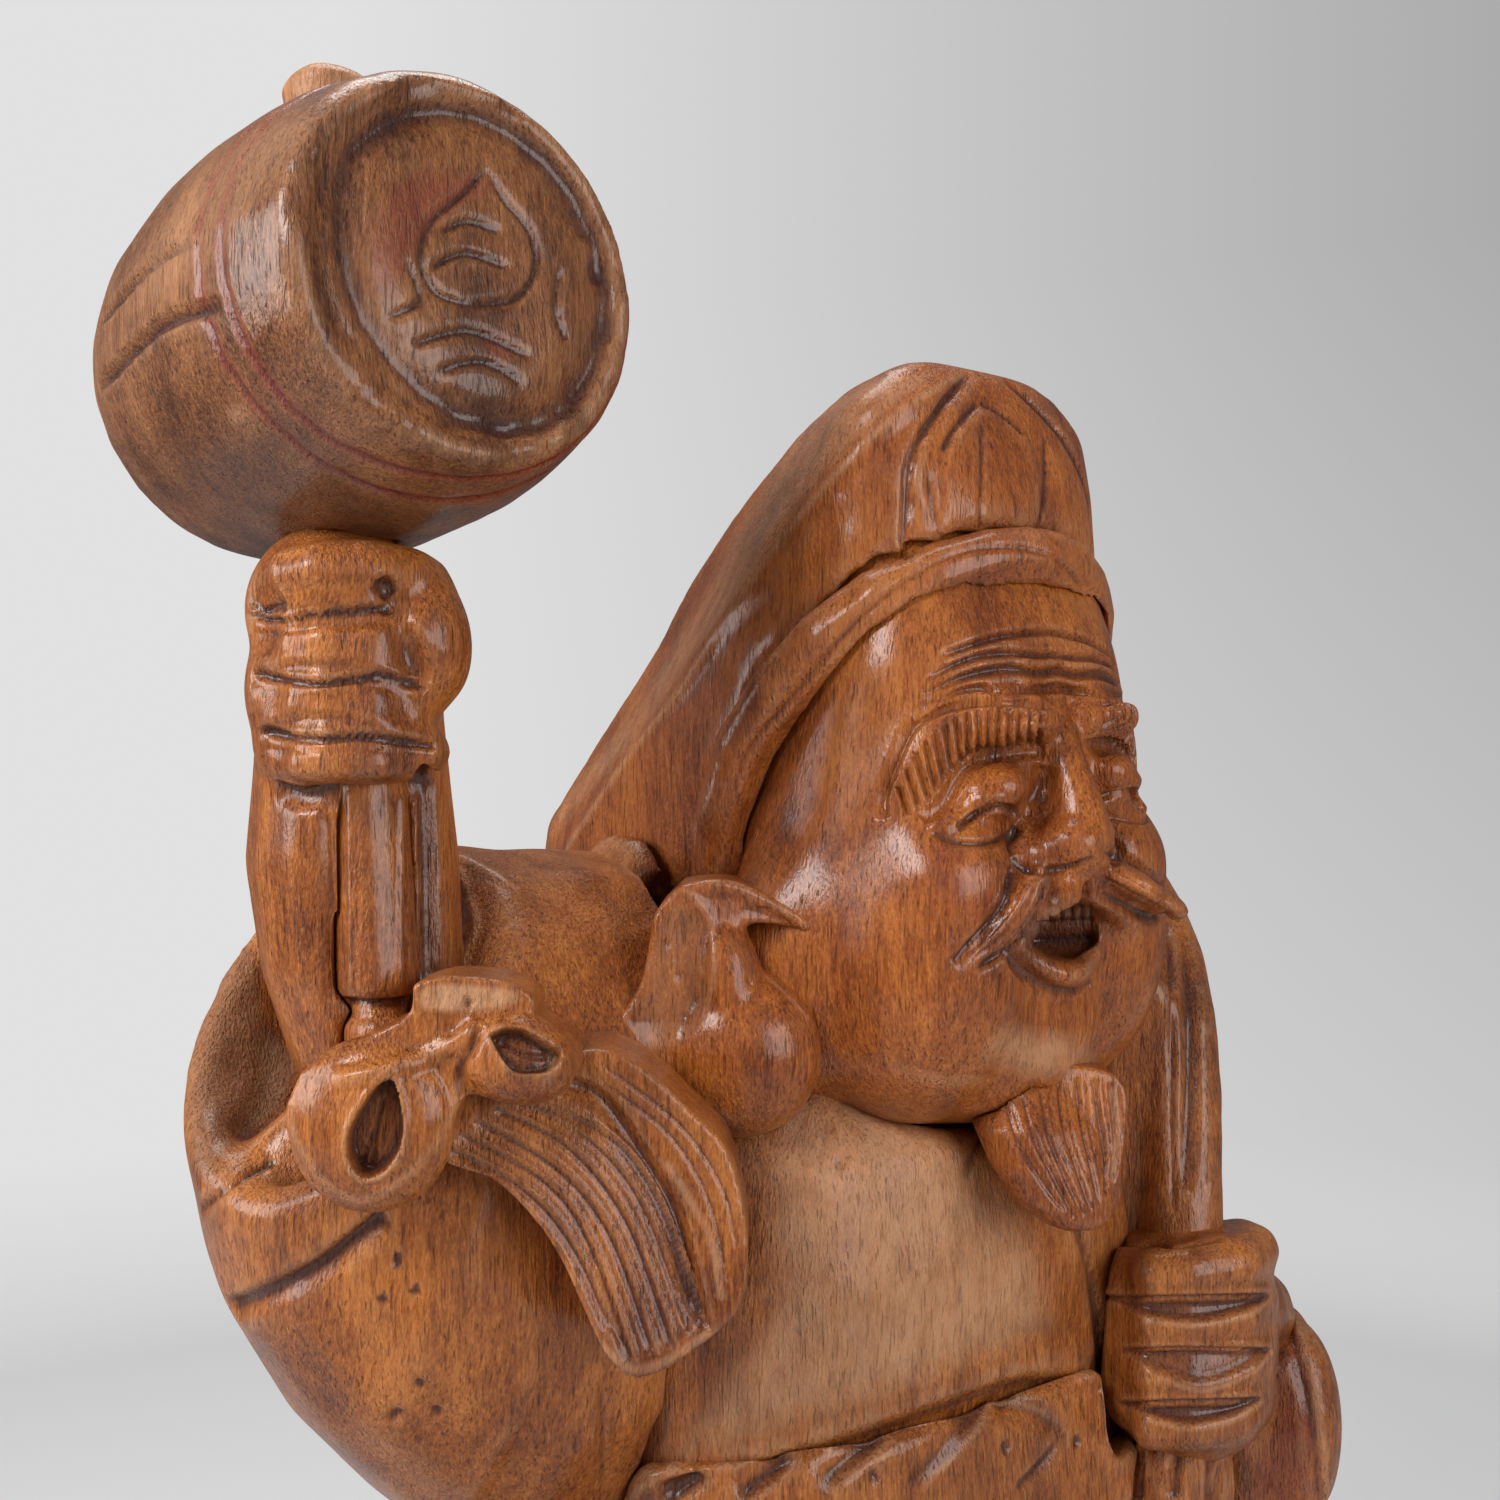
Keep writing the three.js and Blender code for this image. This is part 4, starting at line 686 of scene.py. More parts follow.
def behind(u, v, depth):
    """The place, in metres, that lies depth millimetres before the camera at column u and row v."""
    ray = sight(u, v)
    return CAMERA_PLACE + ray * (depth * MM / ray.dot(FORWARD))


def pebble(u, v, depth, across, up, deep, turn=0):
    """A round form with its sizes in millimetres; turn leans it in the picture, in degrees."""
    form = bmesh.new()
    bmesh.ops.create_icosphere(form, subdivisions=4, radius=0.5)
    axes = Matrix((RIGHTWARD, Vector((0, 0, 1)), -FORWARD)).transposed().to_4x4()
    size = Matrix.Diagonal((across * MM, up * MM, deep * MM, 1))
    lean = Matrix.Rotation(math.radians(turn), 4, "Z")
    place = Matrix.Translation(behind(u, v, depth))
    bmesh.ops.transform(form, matrix=place @ axes @ lean @ size, verts=form.verts)
    return form


def ball(centre, size):
    """A round form told by its centre and its sizes across in x, y and z, in millimetres."""
    form = bmesh.new()
    bmesh.ops.create_icosphere(form, subdivisions=5, radius=0.5)
    spread = Matrix.Diagonal((size[0] * MM, size[1] * MM, size[2] * MM, 1))
    bmesh.ops.transform(form, matrix=Matrix.Translation(Vector(centre) * MM) @ spread, verts=form.verts)
    return form


def board(outline, depth, thick, lean):
    """A board sawn to an outline; lean is how much deeper it lies for each millimetre right and up."""
    middle = np.mean(outline, axis=0)
    form = bmesh.new()
    front = []
    for u, v in smooth_path([*outline, outline[0]], BOARD_CORNERS)[:-1]:
        across, up = (u - middle[0]) * depth / LENS_PIXELS, (middle[1] - v) * depth / LENS_PIXELS
        front.append(form.verts.new(behind(u, v, depth + lean[0] * across + lean[1] * up)))
    face = form.faces.new(front)
    back = bmesh.ops.extrude_face_region(form, geom=[face])["geom"]
    moved = [part for part in back if isinstance(part, bmesh.types.BMVert)]
    bmesh.ops.translate(form, verts=moved, vec=FORWARD * thick * MM)
    bmesh.ops.recalc_face_normals(form, faces=form.faces)
    return form


# %% Ground out or raise an area
def in_picture(blank):
    """Where the camera sees each point: its column and row."""
    gap = blank.co * MM - np.array(CAMERA_PLACE)
    pixels = LENS_PIXELS / (gap @ np.array(FORWARD))
    return PICTURE / 2 + pixels * (gap @ np.array(RIGHTWARD)), HORIZON_ROW - pixels * gap[:, 2]


OUTLINE_CORNERS = 72
FACING_AWAY = -0.05


def within(blank, outline, soft):
    """1 well inside an outline of the picture, 0 outside, with a slope of soft pixels inside its edge."""
    spot = np.stack(in_picture(blank), 1)
    corner = smooth_path([*outline, outline[0]], OUTLINE_CORNERS)
    low, high = corner.min(0), corner.max(0)
    faces_us = normals(blank) @ np.array(FORWARD) < FACING_AWAY
    pick = np.flatnonzero(((spot > low) & (spot < high)).all(1) & faces_us)
    place = spot[pick]
    nearest = np.full(len(pick), np.inf)
    crossed = np.zeros(len(pick), bool)
    for (ax, ay), (bx, by) in zip(corner, corner[1:]):
        run = np.array([bx - ax, by - ay])
        share = np.clip(((place - (ax, ay)) @ run) / max(run @ run, 1e-9), 0, 1)
        gap = place - np.array([ax, ay]) - share[:, None] * run
        nearest = np.minimum(nearest, np.linalg.norm(gap, axis=1))
        between = (ay > place[:, 1]) != (by > place[:, 1])
        if by != ay:
            crossed ^= between & (place[:, 0] < (bx - ax) * (place[:, 1] - ay) / (by - ay) + ax)
    amount = np.zeros(len(blank.co))
    slope = np.clip(nearest / soft, 0, 1)
    amount[pick] = np.where(crossed, slope * slope * (3 - 2 * slope), 0)
    return amount


def ground(blank, outline, depth, soft):
    """Sinks the area inside an outline, all in one direction, by depth millimetres."""
    amount = within(blank, outline, soft)
    if amount.max() == 0:
        return
    direction = (normals(blank) * amount[:, None]).sum(0)
    direction /= np.linalg.norm(direction)
    blank.co -= direction * (depth * amount)[:, None]


def shrunk(outline, middle, share):
    """An outline drawn in towards a middle."""
    return [(middle[0] + (u - middle[0]) * share, middle[1] + (v - middle[1]) * share) for u, v in outline]


def tint(blank, mark, outline, amount, soft):
    """Paints a mark inside an outline of the picture."""
    lay_on(blank, mark, amount * within(blank, outline, soft))


def cuts(blank, places, width, depth, **shape):
    """Strokes along several lines of the picture, all laid on the skin as it is now."""
    tree = surface(blank)
    for path in [seen(tree, line) for line in places]:
        stroke(blank, path, width, depth, **shape)


# %% [markdown]
# ## The head
#
# The head shows the most careful cutting of the figure: a broad laughing face with wrinkled
# forehead, bushy brows, half-shut eyes, round cheeks, a drooping moustache over an open mouth with a
# row of teeth, and a thick lower lip. A face could be built from separate pieces, but a carver cuts
# all of it in one block, so it is one skin here. The CAD solid brings the masses. The blank is
# smoothed, its face is divided finer, and then the strokes follow in a carver's order: large hollows
# first, creases next, hair last. Strokes of the near side are placed by the picture and mirrored.

# %% Melt two forms into each other
MELT_CORE = 1.3


def melt(blank, centre, size, rounds):
    """Relaxes a round region by plain averaging, so that joined forms flow into each other."""
    gap = (blank.co - np.array(centre, float)) / (np.array(size, float) * 0.5)
    weight = CALM_STEP * np.clip(MELT_CORE * (1 - np.linalg.norm(gap, axis=1)), 0, 1)[:, None]
    for _ in range(rounds):
        blank.co += weight * (averaged(blank, blank.co) - blank.co)


def both(tree, path):
    """A path that is seen on the near side, joined to its mirror image across the middle."""
    path = path[path[:, 0] < -0.5]
    return np.vstack([path, mirrored(tree, path)[::-1]])


# %% Lay the rounder forms of the face into the head
FACE_RISE = 3.5


def twin(form):
    """The mirror image of a form for the other side of the figure, which sits a little higher."""
    mesh = bpy.data.meshes.new("twin")
    form.to_mesh(mesh)
    other = bmesh.new()
    other.from_mesh(mesh)
    bmesh.ops.scale(other, vec=(-1, 1, 1), verts=other.verts)
    bmesh.ops.reverse_faces(other, faces=other.faces)
    bmesh.ops.translate(other, vec=(0, 0, FACE_RISE * MM), verts=other.verts)
    return other


SKULL_CELL, FACE_CELL = 1.6, 1.2
SKULL_ROUNDS = 70
FACE_HALF = 26
FACE_PLANE = -62
FACE_BORDER = 8

skull_forms = [merged_copy("head")]
for form in (
    pebble(936, 880, 430, 42, 38, 50),
    ball((-30, -51, 438), (58, 64, 88)),
    pebble(812, 965, 434, 50, 72, 38),
):
    skull_forms += [form, twin(form)]
skull = skinned("skull", joined(skull_forms), SKULL_CELL)
away = np.clip((abs(skull.co[:, 0]) - FACE_HALF) / FACE_BORDER, 0, 1)
behind_face = np.clip((skull.co[:, 1] - FACE_PLANE) / FACE_BORDER, 0, 1)
calm = CALM_STEP * np.maximum(away, behind_face)[:, None]
for _ in range(SKULL_ROUNDS):
    skull.co += calm * (averaged(skull, skull.co) - skull.co)
for side in (-1, 1):
    melt(skull, (side * 30, -72, 452), (56, 56, 84), 14)
normals(skull)
skull_form = bmesh.new()
skull_form.from_mesh(skull.mesh)
face_forms = [
    skull_form,
    pebble(1071, 842, 430, 19, 15, 21),
    pebble(1003, 919, 418, 11, 34, 15, -42),
    pebble(1124, 880, 438, 22, 8, 22, -26),
    pebble(1152, 898, 449, 20, 8, 24, -26),
]
for form in (
    pebble(1036, 851, 431, 12, 11, 15),
    pebble(982, 794, 424, 24, 15, 18, 18),
    pebble(990, 728, 422, 28, 11, 14, 6),
    pebble(917, 766, 424, 11, 28, 14, -32),
    pebble(1052, 888, 427, 10, 8, 10),
):
    face_forms += [form, twin(form)]
head = make_blank("carved_head", face_forms, FACE_CELL, 8)
melt(head, (0, -62, 410), (80, 60, 46), 20)
refine(head, (-56, -110, 408), (56, -36, 542))
soften(head, 4)

# %% Sockets, lids and the slits of the eyes
EYE_SLIT = [(958, 829), (975, 816), (994, 808), (1010, 809), (1018, 815)]
tree = surface(head)
socket = seen(tree, [(1046, 752), (1020, 754), (992, 757), (970, 766), (957, 782), (945, 804), (924, 822)])
inner = seen(tree, [(1046, 765), (1040, 790), (1026, 812)])
lid = seen(tree, [(928, 822), (944, 827), (958, 820), (976, 803), (994, 796), (1010, 799)])
slit = seen(tree, EYE_SLIT)
under = seen(tree, [(932, 832), (958, 841), (990, 841), (1020, 828)])
pair(head, tree, socket, 6.5, 2.2, FACE_RISE, lean=0.3, ends=0.2)
pair(head, tree, inner, 9, 2.4, FACE_RISE, ends=0.4)
tree = surface(head)
pair(head, tree, lid, 5, -0.9, FACE_RISE, ends=0.2)
pair(head, tree, slit, 3.4, 1.9, FACE_RISE, ends=0.2)
pair(head, tree, under, 3.2, 1.3, FACE_RISE, lean=0.4, ends=0.3)

# %% Nose, cheeks and the laughing folds
tree = surface(head)
wing = seen(tree, [(1030, 812), (1014, 832), (1011, 852), (1020, 868)])
nose_base = seen(tree, [(1018, 869), (1048, 871), (1070, 868), (1094, 858)])
near_fold = [(1012, 866), (1004, 900), (985, 927), (965, 949), (953, 962)]
far_fold = [(1104, 852), (1132, 866), (1168, 888)]
near_leaf = [(1048, 884), (1040, 908), (1026, 932), (1004, 955), (978, 970)]
far_leaf = [(1098, 892), (1126, 907), (1156, 918), (1170, 910)]
pair(head, tree, wing, 4.5, 2.0, ends=0.3)
pair(head, tree, nose_base, 4.0, 1.7, ends=0.3)
for line in (near_fold, far_fold):
    stroke(head, seen(tree, line), 4.5, 1.6, lean=-0.4, ends=0.2)
for line in (near_leaf, far_leaf):
    stroke(head, seen(tree, line), 4.0, 1.5, lean=0.4, ends=0.2)

# %% Wrinkles of the forehead
WRINKLES = (
    [(942, 655), (987, 639), (1018, 633), (1064, 629)],
    [(930, 677), (968, 658), (1006, 652), (1044, 654), (1064, 650)],
    [(923, 696), (961, 677), (1006, 668), (1040, 672), (1064, 668)],
    [(911, 714), (936, 697), (974, 687), (1006, 690), (1040, 689), (1064, 684)],
)
BROW_RIM = [
    (886, 818), (884, 796), (895, 766), (911, 731), (930, 716), (958, 706), (996, 702), (1030, 704),
    (1054, 708),
]
tree = surface(head)
for places in WRINKLES:
    path = both(tree, seen(tree, places))
    stroke(head, path, 4.2, 1.7, lean=0.35, ends=0.18)
    stroke(head, laid(surface(head), path - (0, 0, 2.4)), 2.8, -0.6, ends=0.25)
tree = surface(head)
pair(head, tree, seen(tree, BROW_RIM), 4.6, 1.9, FACE_RISE, lean=-0.35, ends=0.12)

# %% Hairs of the brows and the moustache
BROW_HAIRS = (
    [(1044, 711), (1037, 747)], [(1033, 709), (1029, 747)], [(1022, 708), (1018, 748)],
    [(1011, 707), (1008, 748)], [(1000, 706), (997, 749)], [(989, 707), (988, 750)],
    [(978, 709), (979, 753)], [(967, 711), (969, 758)], [(956, 716), (962, 764)], [(945, 722), (953, 772)],
    [(934, 730), (945, 782)], [(924, 740), (937, 792)], [(914, 752), (930, 802)], [(905, 768), (920, 810)],
    [(897, 786), (908, 815)],
)
MOUSTACHE_HAIRS = (
    [(1024, 880), (1014, 905), (994, 930), (968, 955)], [(1034, 882), (1024, 908), (1003, 935), (972, 960)],
    [(1043, 888), (1031, 914), (1011, 941), (980, 964)],
    [(1108, 866), (1136, 881), (1166, 898)], [(1106, 878), (1132, 893), (1162, 908)],
)
refine(head, (-52, -96, 470), (52, -50, 508))
tree = surface(head)
for places in BROW_HAIRS:
    pair(head, tree, seen(tree, places, 10), 2.3, 1.5, FACE_RISE, ends=0.2, power=1.2)
for places in MOUSTACHE_HAIRS:
    stroke(head, seen(tree, places, 14), 2.0, 0.6, ends=0.25, power=1.2)

# %% Teeth, lips and the crease of the chin
MOUTH_OPENING = [
    (1020, 930), (1040, 924), (1068, 923), (1094, 922), (1100, 934), (1095, 950), (1078, 958), (1054, 956),
    (1034, 946),
]
LOWER_LIP = [(1014, 938), (1028, 957), (1050, 970), (1068, 974), (1085, 967), (1100, 946)]
CHIN_CREASE = [(1004, 948), (1020, 972), (1046, 989), (1070, 992), (1092, 982)]
ground(head, MOUTH_OPENING, 4.5, soft=6)
soften(head, 4, within(head, MOUTH_OPENING, 6))
cuts(head, [LOWER_LIP], 8, -2.0, ends=0.3)
cuts(head, [CHIN_CREASE], 6.0, 1.5, lean=-0.3, ends=0.25)
cuts(head, [[(1028, 925), (1060, 921), (1094, 920)]], 3, 1.4, lean=0.4, ends=0.2)
tree = surface(head)
for u in (1051, 1061, 1071, 1081, 1090):
    stroke(head, seen(tree, [(u, 903), (u, 922)], 6), 1.5, 0.9, ends=0.1, power=1.2)
tree = surface(head)
for mark, places, reach, amount in (
    ("pale", [(1046, 913), (1070, 912), (1092, 911)], 2.0, 0.5),
    ("pale", [(985, 1082), (940, 1080), (900, 1070)], 3, 0.35),
    ("pale", [(1000, 1046), (1034, 1054), (1070, 1060), (1084, 1076)], 8, 0.75),
    ("shade", EYE_SLIT, 1.4, 0.6),
    ("shade", [(1030, 935), (1052, 938), (1080, 934)], 9, 0.8),
    ("pigment", [(955, 868), (975, 900)], 9, 0.25),
):
    paint(head, mark, seen(tree, places), reach, amount)
finish_piece(head, "head", face_wood)

# %% [markdown]
# ## The soft hat
#
# The real hat is a folded cloth cap cut from one block. Its top leans back to a rounded ridge, a long
# facet runs down behind with a painted reflection and a painted highlight along its ridge, and the front
# is folded like an envelope: an outer fold, a pointed inner flap and a few upright creases. Sewn cloth
# would hang; carved cloth keeps the flat planes of the chisel, so the folds are strokes and narrow
# grounds in the block.

# %% Carve the crown of the hat
HAT_TOP = 594
HAT_OUTER_FOLD = [(968, 372), (950, 394), (935, 414), (920, 436), (908, 464), (905, 515), (903, 572)]
HAT_FLAP = [
    (979, 402), (958, 425), (944, 450), (940, 500), (944, 540), (1030, 536), (1041, 480), (1028, 438),
    (1000, 412),
]
HAT_REFLECTING_SIDE = [
    (968, 356), (920, 366), (872, 373), (826, 400), (786, 440), (745, 506), (690, 606), (628, 706),
    (556, 800), (548, 845), (586, 806), (655, 722), (735, 606), (788, 528), (838, 468), (896, 412),
]
HAT_SIDE_RIDGE = [(962, 374), (896, 415), (836, 474), (784, 535), (732, 609), (678, 692), (622, 765), (566, 850)]
crown = make_blank("carved_hat_crown", "hat_crown", 1.15, 6, first=3.4)
cuts(crown, [HAT_SIDE_RIDGE], 8, -0.7, ends=0.1)
cuts(crown, [[(838, 492), (786, 564), (716, 628), (655, 716)]], 12, -0.7, ends=0.3)
cuts(crown, [[(905, 402), (862, 462), (805, 545), (742, 632), (690, 710)]], 22, 0.25, ends=0.3)
cuts(crown, [[(928, 436), (918, 462), (916, 500)]], 8, -1.0, ends=0.35)
tree = surface(crown)
outer_fold = seen(tree, HAT_OUTER_FOLD)
stroke(crown, outer_fold, 5.0, 1.7, lean=-0.3, ends=0.1)
stroke(crown, mirrored(tree, outer_fold), 5.0, 1.4, lean=0.3, ends=0.1)
ground(crown, HAT_FLAP, -0.9, soft=7)
flap_creases = [(981, 420), (982, 470), (980, 533)], [(1045, 436), (1044, 500), (1033, 545)]
flap_edges = [(979, 403), (957, 427), (943, 452)], [(980, 402), (1002, 415), (1024, 434)]
side_creases = [(928, 474), (931, 500), (935, 524)], [(1084, 440), (1096, 480), (1096, 530)]
cuts(crown, flap_creases, 2.6, 0.8, ends=0.1, power=1.3)
cuts(crown, flap_edges, 2.8, 0.9, ends=0.1, lean=0.3)
cuts(crown, side_creases, 2.4, 0.7, ends=0.3, power=1.3)
for z in (500, 530, 560):
    below = HAT_TOP - z
    back_fold = [(50, -20 + below * 0.6, z), (56, 20 + below * 0.6, z - 20), (48, 50 + below * 0.5, z - 44)]
    stroke(crown, laid(surface(crown), back_fold), 9, 0.8, lean=0.4, ends=0.35)
# Painted reflection of the left lamp on the long side facet, painted highlights along its ridge and at the
# top, and painted shade low on the back edge.
tint(crown, "pale", HAT_REFLECTING_SIDE, 0.55, soft=14)
tree = surface(crown)
paint(crown, "pale", seen(tree, HAT_SIDE_RIDGE), 1.6, 0.7)
paint(crown, "pale", seen(tree, [(935, 361), (980, 360), (1016, 366)]), 4, 0.6)
paint(crown, "shade", seen(tree, [(536, 850), (600, 870), (668, 905)]), 7, 0.4)
finish_piece(crown, "hat_crown", hat_wood)

# %% Carve the rolled rim of the hat
RIM_UPPER_EDGE = [
    (720, 800), (749, 740), (790, 692), (844, 626), (904, 574), (956, 548), (997, 542), (1039, 548),
    (1070, 572), (1088, 606),
]
rim = make_blank("carved_hat_rim", "hat_band", 0.8, 14)
melt(rim, (0, 0, 500), (400, 400, 400), 8)
tree = surface(rim)
near_rim = laid(tree, [(-66, -16, 470), (-62, -34, 506), (-45, -52, 530), (-22, -68, 542), (0, -72, 545)])
pair(rim, tree, near_rim, 18, -1.5, ends=0.05)
cuts(rim, [[(u + 4, v + 5) for u, v in RIM_UPPER_EDGE]], 3.0, 0.7, ends=0.1)
cuts(rim, [[(800, 712), (770, 752), (750, 800), (742, 850)]], 7, 0.9, ends=0.3)
paint(rim, "shade", near_rim[:6], 5, 0.3)
finish_piece(rim, "hat_band", hat_wood)

# %% [markdown]
# ## The ears
#
# Long ears with heavy lobes are the sign of good fortune. Each is one block. Its upper edge folds
# over like a leaf, a ridge with a painted highlight runs down from the tip, behind it lies a flat plane
# whose painted shade and pale tint make it dull and greenish, and the lobe swells out like a drop. The
# outline is a sawn board and the lobe is laid in as pebbles. The plane is ground out; the ridge and the
# fold are strokes.

# %% Carve the near ear and its mirror image
EAR_OUTLINE = [
    (682, 884), (712, 880), (735, 882), (758, 892), (788, 909), (819, 933), (780, 926), (748, 924),
    (732, 932), (742, 950), (764, 974), (786, 994), (810, 1016), (815, 1040), (810, 1068), (793, 1092),
    (766, 1112), (733, 1133), (706, 1131), (680, 1106), (650, 1064), (611, 1046), (619, 1018), (640, 986),
    (651, 927), (658, 908),
]
EAR_BACK_PLANE = [
    (683, 890), (658, 914), (652, 940), (642, 986), (622, 1022), (646, 1050), (688, 1046), (708, 1018),
    (714, 986), (712, 950), (710, 922),
]
EAR_PITS = (
    [(747, 978), (753, 988)], [(679, 970), (680, 980)], [(684, 1012), (686, 1022)], [(664, 940), (668, 948)],
)
ear_forms = [
    board(EAR_OUTLINE, 410, 28, (0.3, 0.0)),
    pebble(738, 1052, 417, 41, 42, 32, 10),
    pebble(728, 990, 415, 18, 40, 22, 8),
    pebble(700, 1076, 417, 26, 26, 24),
]
ear = make_blank("carved_ear_right", ear_forms, 0.7, 6)
melt(ear, (-82, -38, 424), (110, 110, 130), 26)
ground(ear, EAR_BACK_PLANE, 1.4, soft=30)
ridge_line = [(684, 890), (698, 903), (711, 922), (714, 955), (712, 985), (703, 1014)]
cuts(ear, [ridge_line], 4.0, -0.6, ends=0.15)
cuts(ear, [[(696, 886), (730, 886), (756, 896), (786, 912), (814, 930)]], 5.0, -1.0, ends=0.2)
cuts(ear, [[(742, 908), (770, 916), (800, 928)]], 5.0, 0.8, ends=0.3)
cuts(ear, EAR_PITS, 2.6, 0.4, ends=0.5)
# Painted shade and a pale tint dull the back plane; painted highlights run along the ridge and along two
# edges of the ear.
tint(ear, "shade", EAR_BACK_PLANE, 0.2, soft=10)
tint(ear, "pale", EAR_BACK_PLANE, 0.22, soft=10)
tree = surface(ear)
for line in (ridge_line, [(768, 978), (790, 998), (808, 1018)], [(614, 1040), (636, 996), (650, 960)]):
    paint(ear, "pale", seen(tree, line), 1.1, 0.5)


def mirror_blank(blank, name):
    """The same carved skin for the other side of the figure."""
    other = Blank()
    other.name = name
    form = bmesh.new()
    normals(blank)
    form.from_mesh(blank.mesh)
    bmesh.ops.scale(form, vec=(-1, 1, 1), verts=form.verts)
    bmesh.ops.reverse_faces(form, faces=form.faces)
    other.mesh = bpy.data.meshes.new(name)
    form.to_mesh(other.mesh)
    form.free()
    read_skin(other)
    other.paint = {mark: values.copy() for mark, values in blank.paint.items()}
    return other


far_ear = mirror_blank(ear, "carved_ear_left")
finish_piece(ear, "ear_right", face_wood)
finish_piece(far_ear, "ear_left", face_wood)

# %% [markdown]
# ## The beard
#
# The beard is a small block pegged under the chin, cut in long wavy locks that end in a point. Real
# hair would be strands; here each lock is a groove with a soft ridge beside it.

# %% Carve the beard
BEARD_OUTLINE = [
    (988, 1088), (1000, 1130), (1022, 1175), (1058, 1214), (1090, 1230), (1112, 1200), (1124, 1150),
    (1124, 1085), (1080, 1066), (1030, 1072),
]
BEARD_LOCKS = (
    [(1004, 1100), (1018, 1140), (1044, 1184), (1066, 1212)],
    [(1022, 1092), (1034, 1136), (1056, 1180), (1076, 1218)],
    [(1040, 1086), (1048, 1130), (1064, 1172), (1084, 1216)],
    [(1058, 1080), (1064, 1126), (1078, 1170), (1092, 1212)],
    [(1076, 1078), (1082, 1124), (1092, 1168), (1100, 1206)],
    [(1094, 1078), (1100, 1120), (1106, 1160), (1106, 1196)],
    [(1110, 1082), (1114, 1118), (1116, 1150), (1112, 1184)],
)
beard_forms = [merged_copy("beard"), board(BEARD_OUTLINE, 434, 20, (0.2, 0.25))]
beard = make_blank("carved_beard", beard_forms, 0.55, 6)
melt(beard, (0, -80, 388), (70, 60, 70), 10)
cuts(beard, BEARD_LOCKS, 2.6, 0.9, ends=0.15, power=1.2)
cuts(beard, [[(u + 7, v + 3) for u, v in line[:3]] for line in BEARD_LOCKS], 1.6, 0.5, ends=0.2, power=1.2)
paint(beard, "pale", seen(surface(beard), [(1114, 1090), (1118, 1130), (1112, 1180)]), 1.5, 0.6)
finish_piece(beard, "beard", face_wood)

# %% [markdown]
# ## The mallet
#
# The lucky mallet is a turned barrel with two hoops and a round field on its striking face. On the
# barrel's side the hoops were scratched in and rubbed with red; low on the side they go over into
# broad wedge cuts. Its field carries a plain jewel, a common sign of good fortune, cut as a few
# strokes. A lathe would make the barrel perfectly round. This one was trued by hand, so the facets of
# the frame are only softened.

# %% Carve the barrel and its field
BEYOND_BARREL = 60
MALLET_FIELD = [
    (353, 150), (340, 200), (345, 270), (372, 335), (430, 398), (500, 430), (560, 418), (598, 355),
    (606, 280), (578, 200), (522, 140), (460, 113), (400, 117),
]
MALLET_LIT_TOP = [
    (118, 260), (190, 150), (290, 95), (395, 78), (335, 135), (262, 225), (190, 300), (120, 330),
]
MALLET_SHADED_BELLY = [
    (112, 420), (230, 400), (330, 400), (400, 470), (500, 500), (560, 480), (450, 575), (260, 560),
    (150, 500),
]
MALLET_REDDENED = [
    (384, 178), (450, 160), (530, 186), (470, 212), (424, 256), (402, 306), (366, 290), (362, 230),
]
JEWEL = (
    [(487, 168), (462, 196), (432, 222), (421, 258), (436, 292), (470, 306)],
    [(487, 168), (505, 200), (530, 232), (536, 268), (516, 298), (470, 306)],
    [(440, 232), (468, 222), (500, 232)], [(430, 268), (466, 254), (508, 268)],
    [(388, 318), (420, 300), (408, 262)], [(566, 342), (556, 306), (560, 268)],
    [(412, 344), (470, 332), (532, 358)], [(436, 372), (482, 362), (524, 384)],
)
WEDGE_CUTS = [(190, 243), (150, 268), (101, 322)], [(222, 309), (160, 330), (99, 390)]
mallet = make_blank("carved_mallet", "mallet_head", 0.95, 8, first=3.0)
field_edge = [*MALLET_FIELD, MALLET_FIELD[0]]
cuts(mallet, [field_edge], 8.5, 1.2, lean=-0.35, ends=0)
ground(mallet, shrunk(MALLET_FIELD, (470, 272), 0.86), -0.8, soft=30)
cuts(mallet, JEWEL, 2.7, 1.0, ends=0.2, power=1.3)
cuts(mallet, WEDGE_CUTS, 5.0, 1.8, lean=0.5, ends=0.25)
inner_field = within(mallet, MALLET_FIELD, 10)
axis = (normals(mallet) * inner_field[:, None]).sum(0)
axis /= np.linalg.norm(axis)
middle = mallet.co.mean(0)
first_way = np.cross(axis, (0, 0, 1))
first_way /= np.linalg.norm(first_way)
second_way = np.cross(axis, first_way)
turns = np.linspace(0, 2 * math.pi, 49)[:, None]
ring = BEYOND_BARREL * (np.cos(turns) * first_way + np.sin(turns) * second_way)
tree = surface(mallet)
for place_seen in ((226, 182), (256, 186)):
    along = (seen(tree, [place_seen, place_seen], 2)[0] - middle) @ axis
    hoop = laid(tree, middle + axis * along + ring, 120)
    stroke(mallet, hoop, 2.6, 0.6, ends=0)
    paint(mallet, "pigment", hoop, 2.2, 0.9)
tint(mallet, "pigment", MALLET_REDDENED, 0.55, soft=24)
tint(mallet, "pigment", [(480, 330), (512, 326), (516, 362), (484, 362)], 0.5, soft=12)
# Painted light on the top of the barrel.
tint(mallet, "pale", MALLET_LIT_TOP, 0.4, soft=40)
tint(mallet, "pale", [(222, 402), (250, 402), (252, 426), (226, 426)], 0.5, soft=14)
# Painted shade on the underside of the barrel.
tint(mallet, "shade", MALLET_SHADED_BELLY, 0.5, soft=60)
paint(mallet, "shade", seen(surface(mallet), field_edge), 3.0, 0.35)
finish_piece(mallet, "mallet_head", mallet_wood)

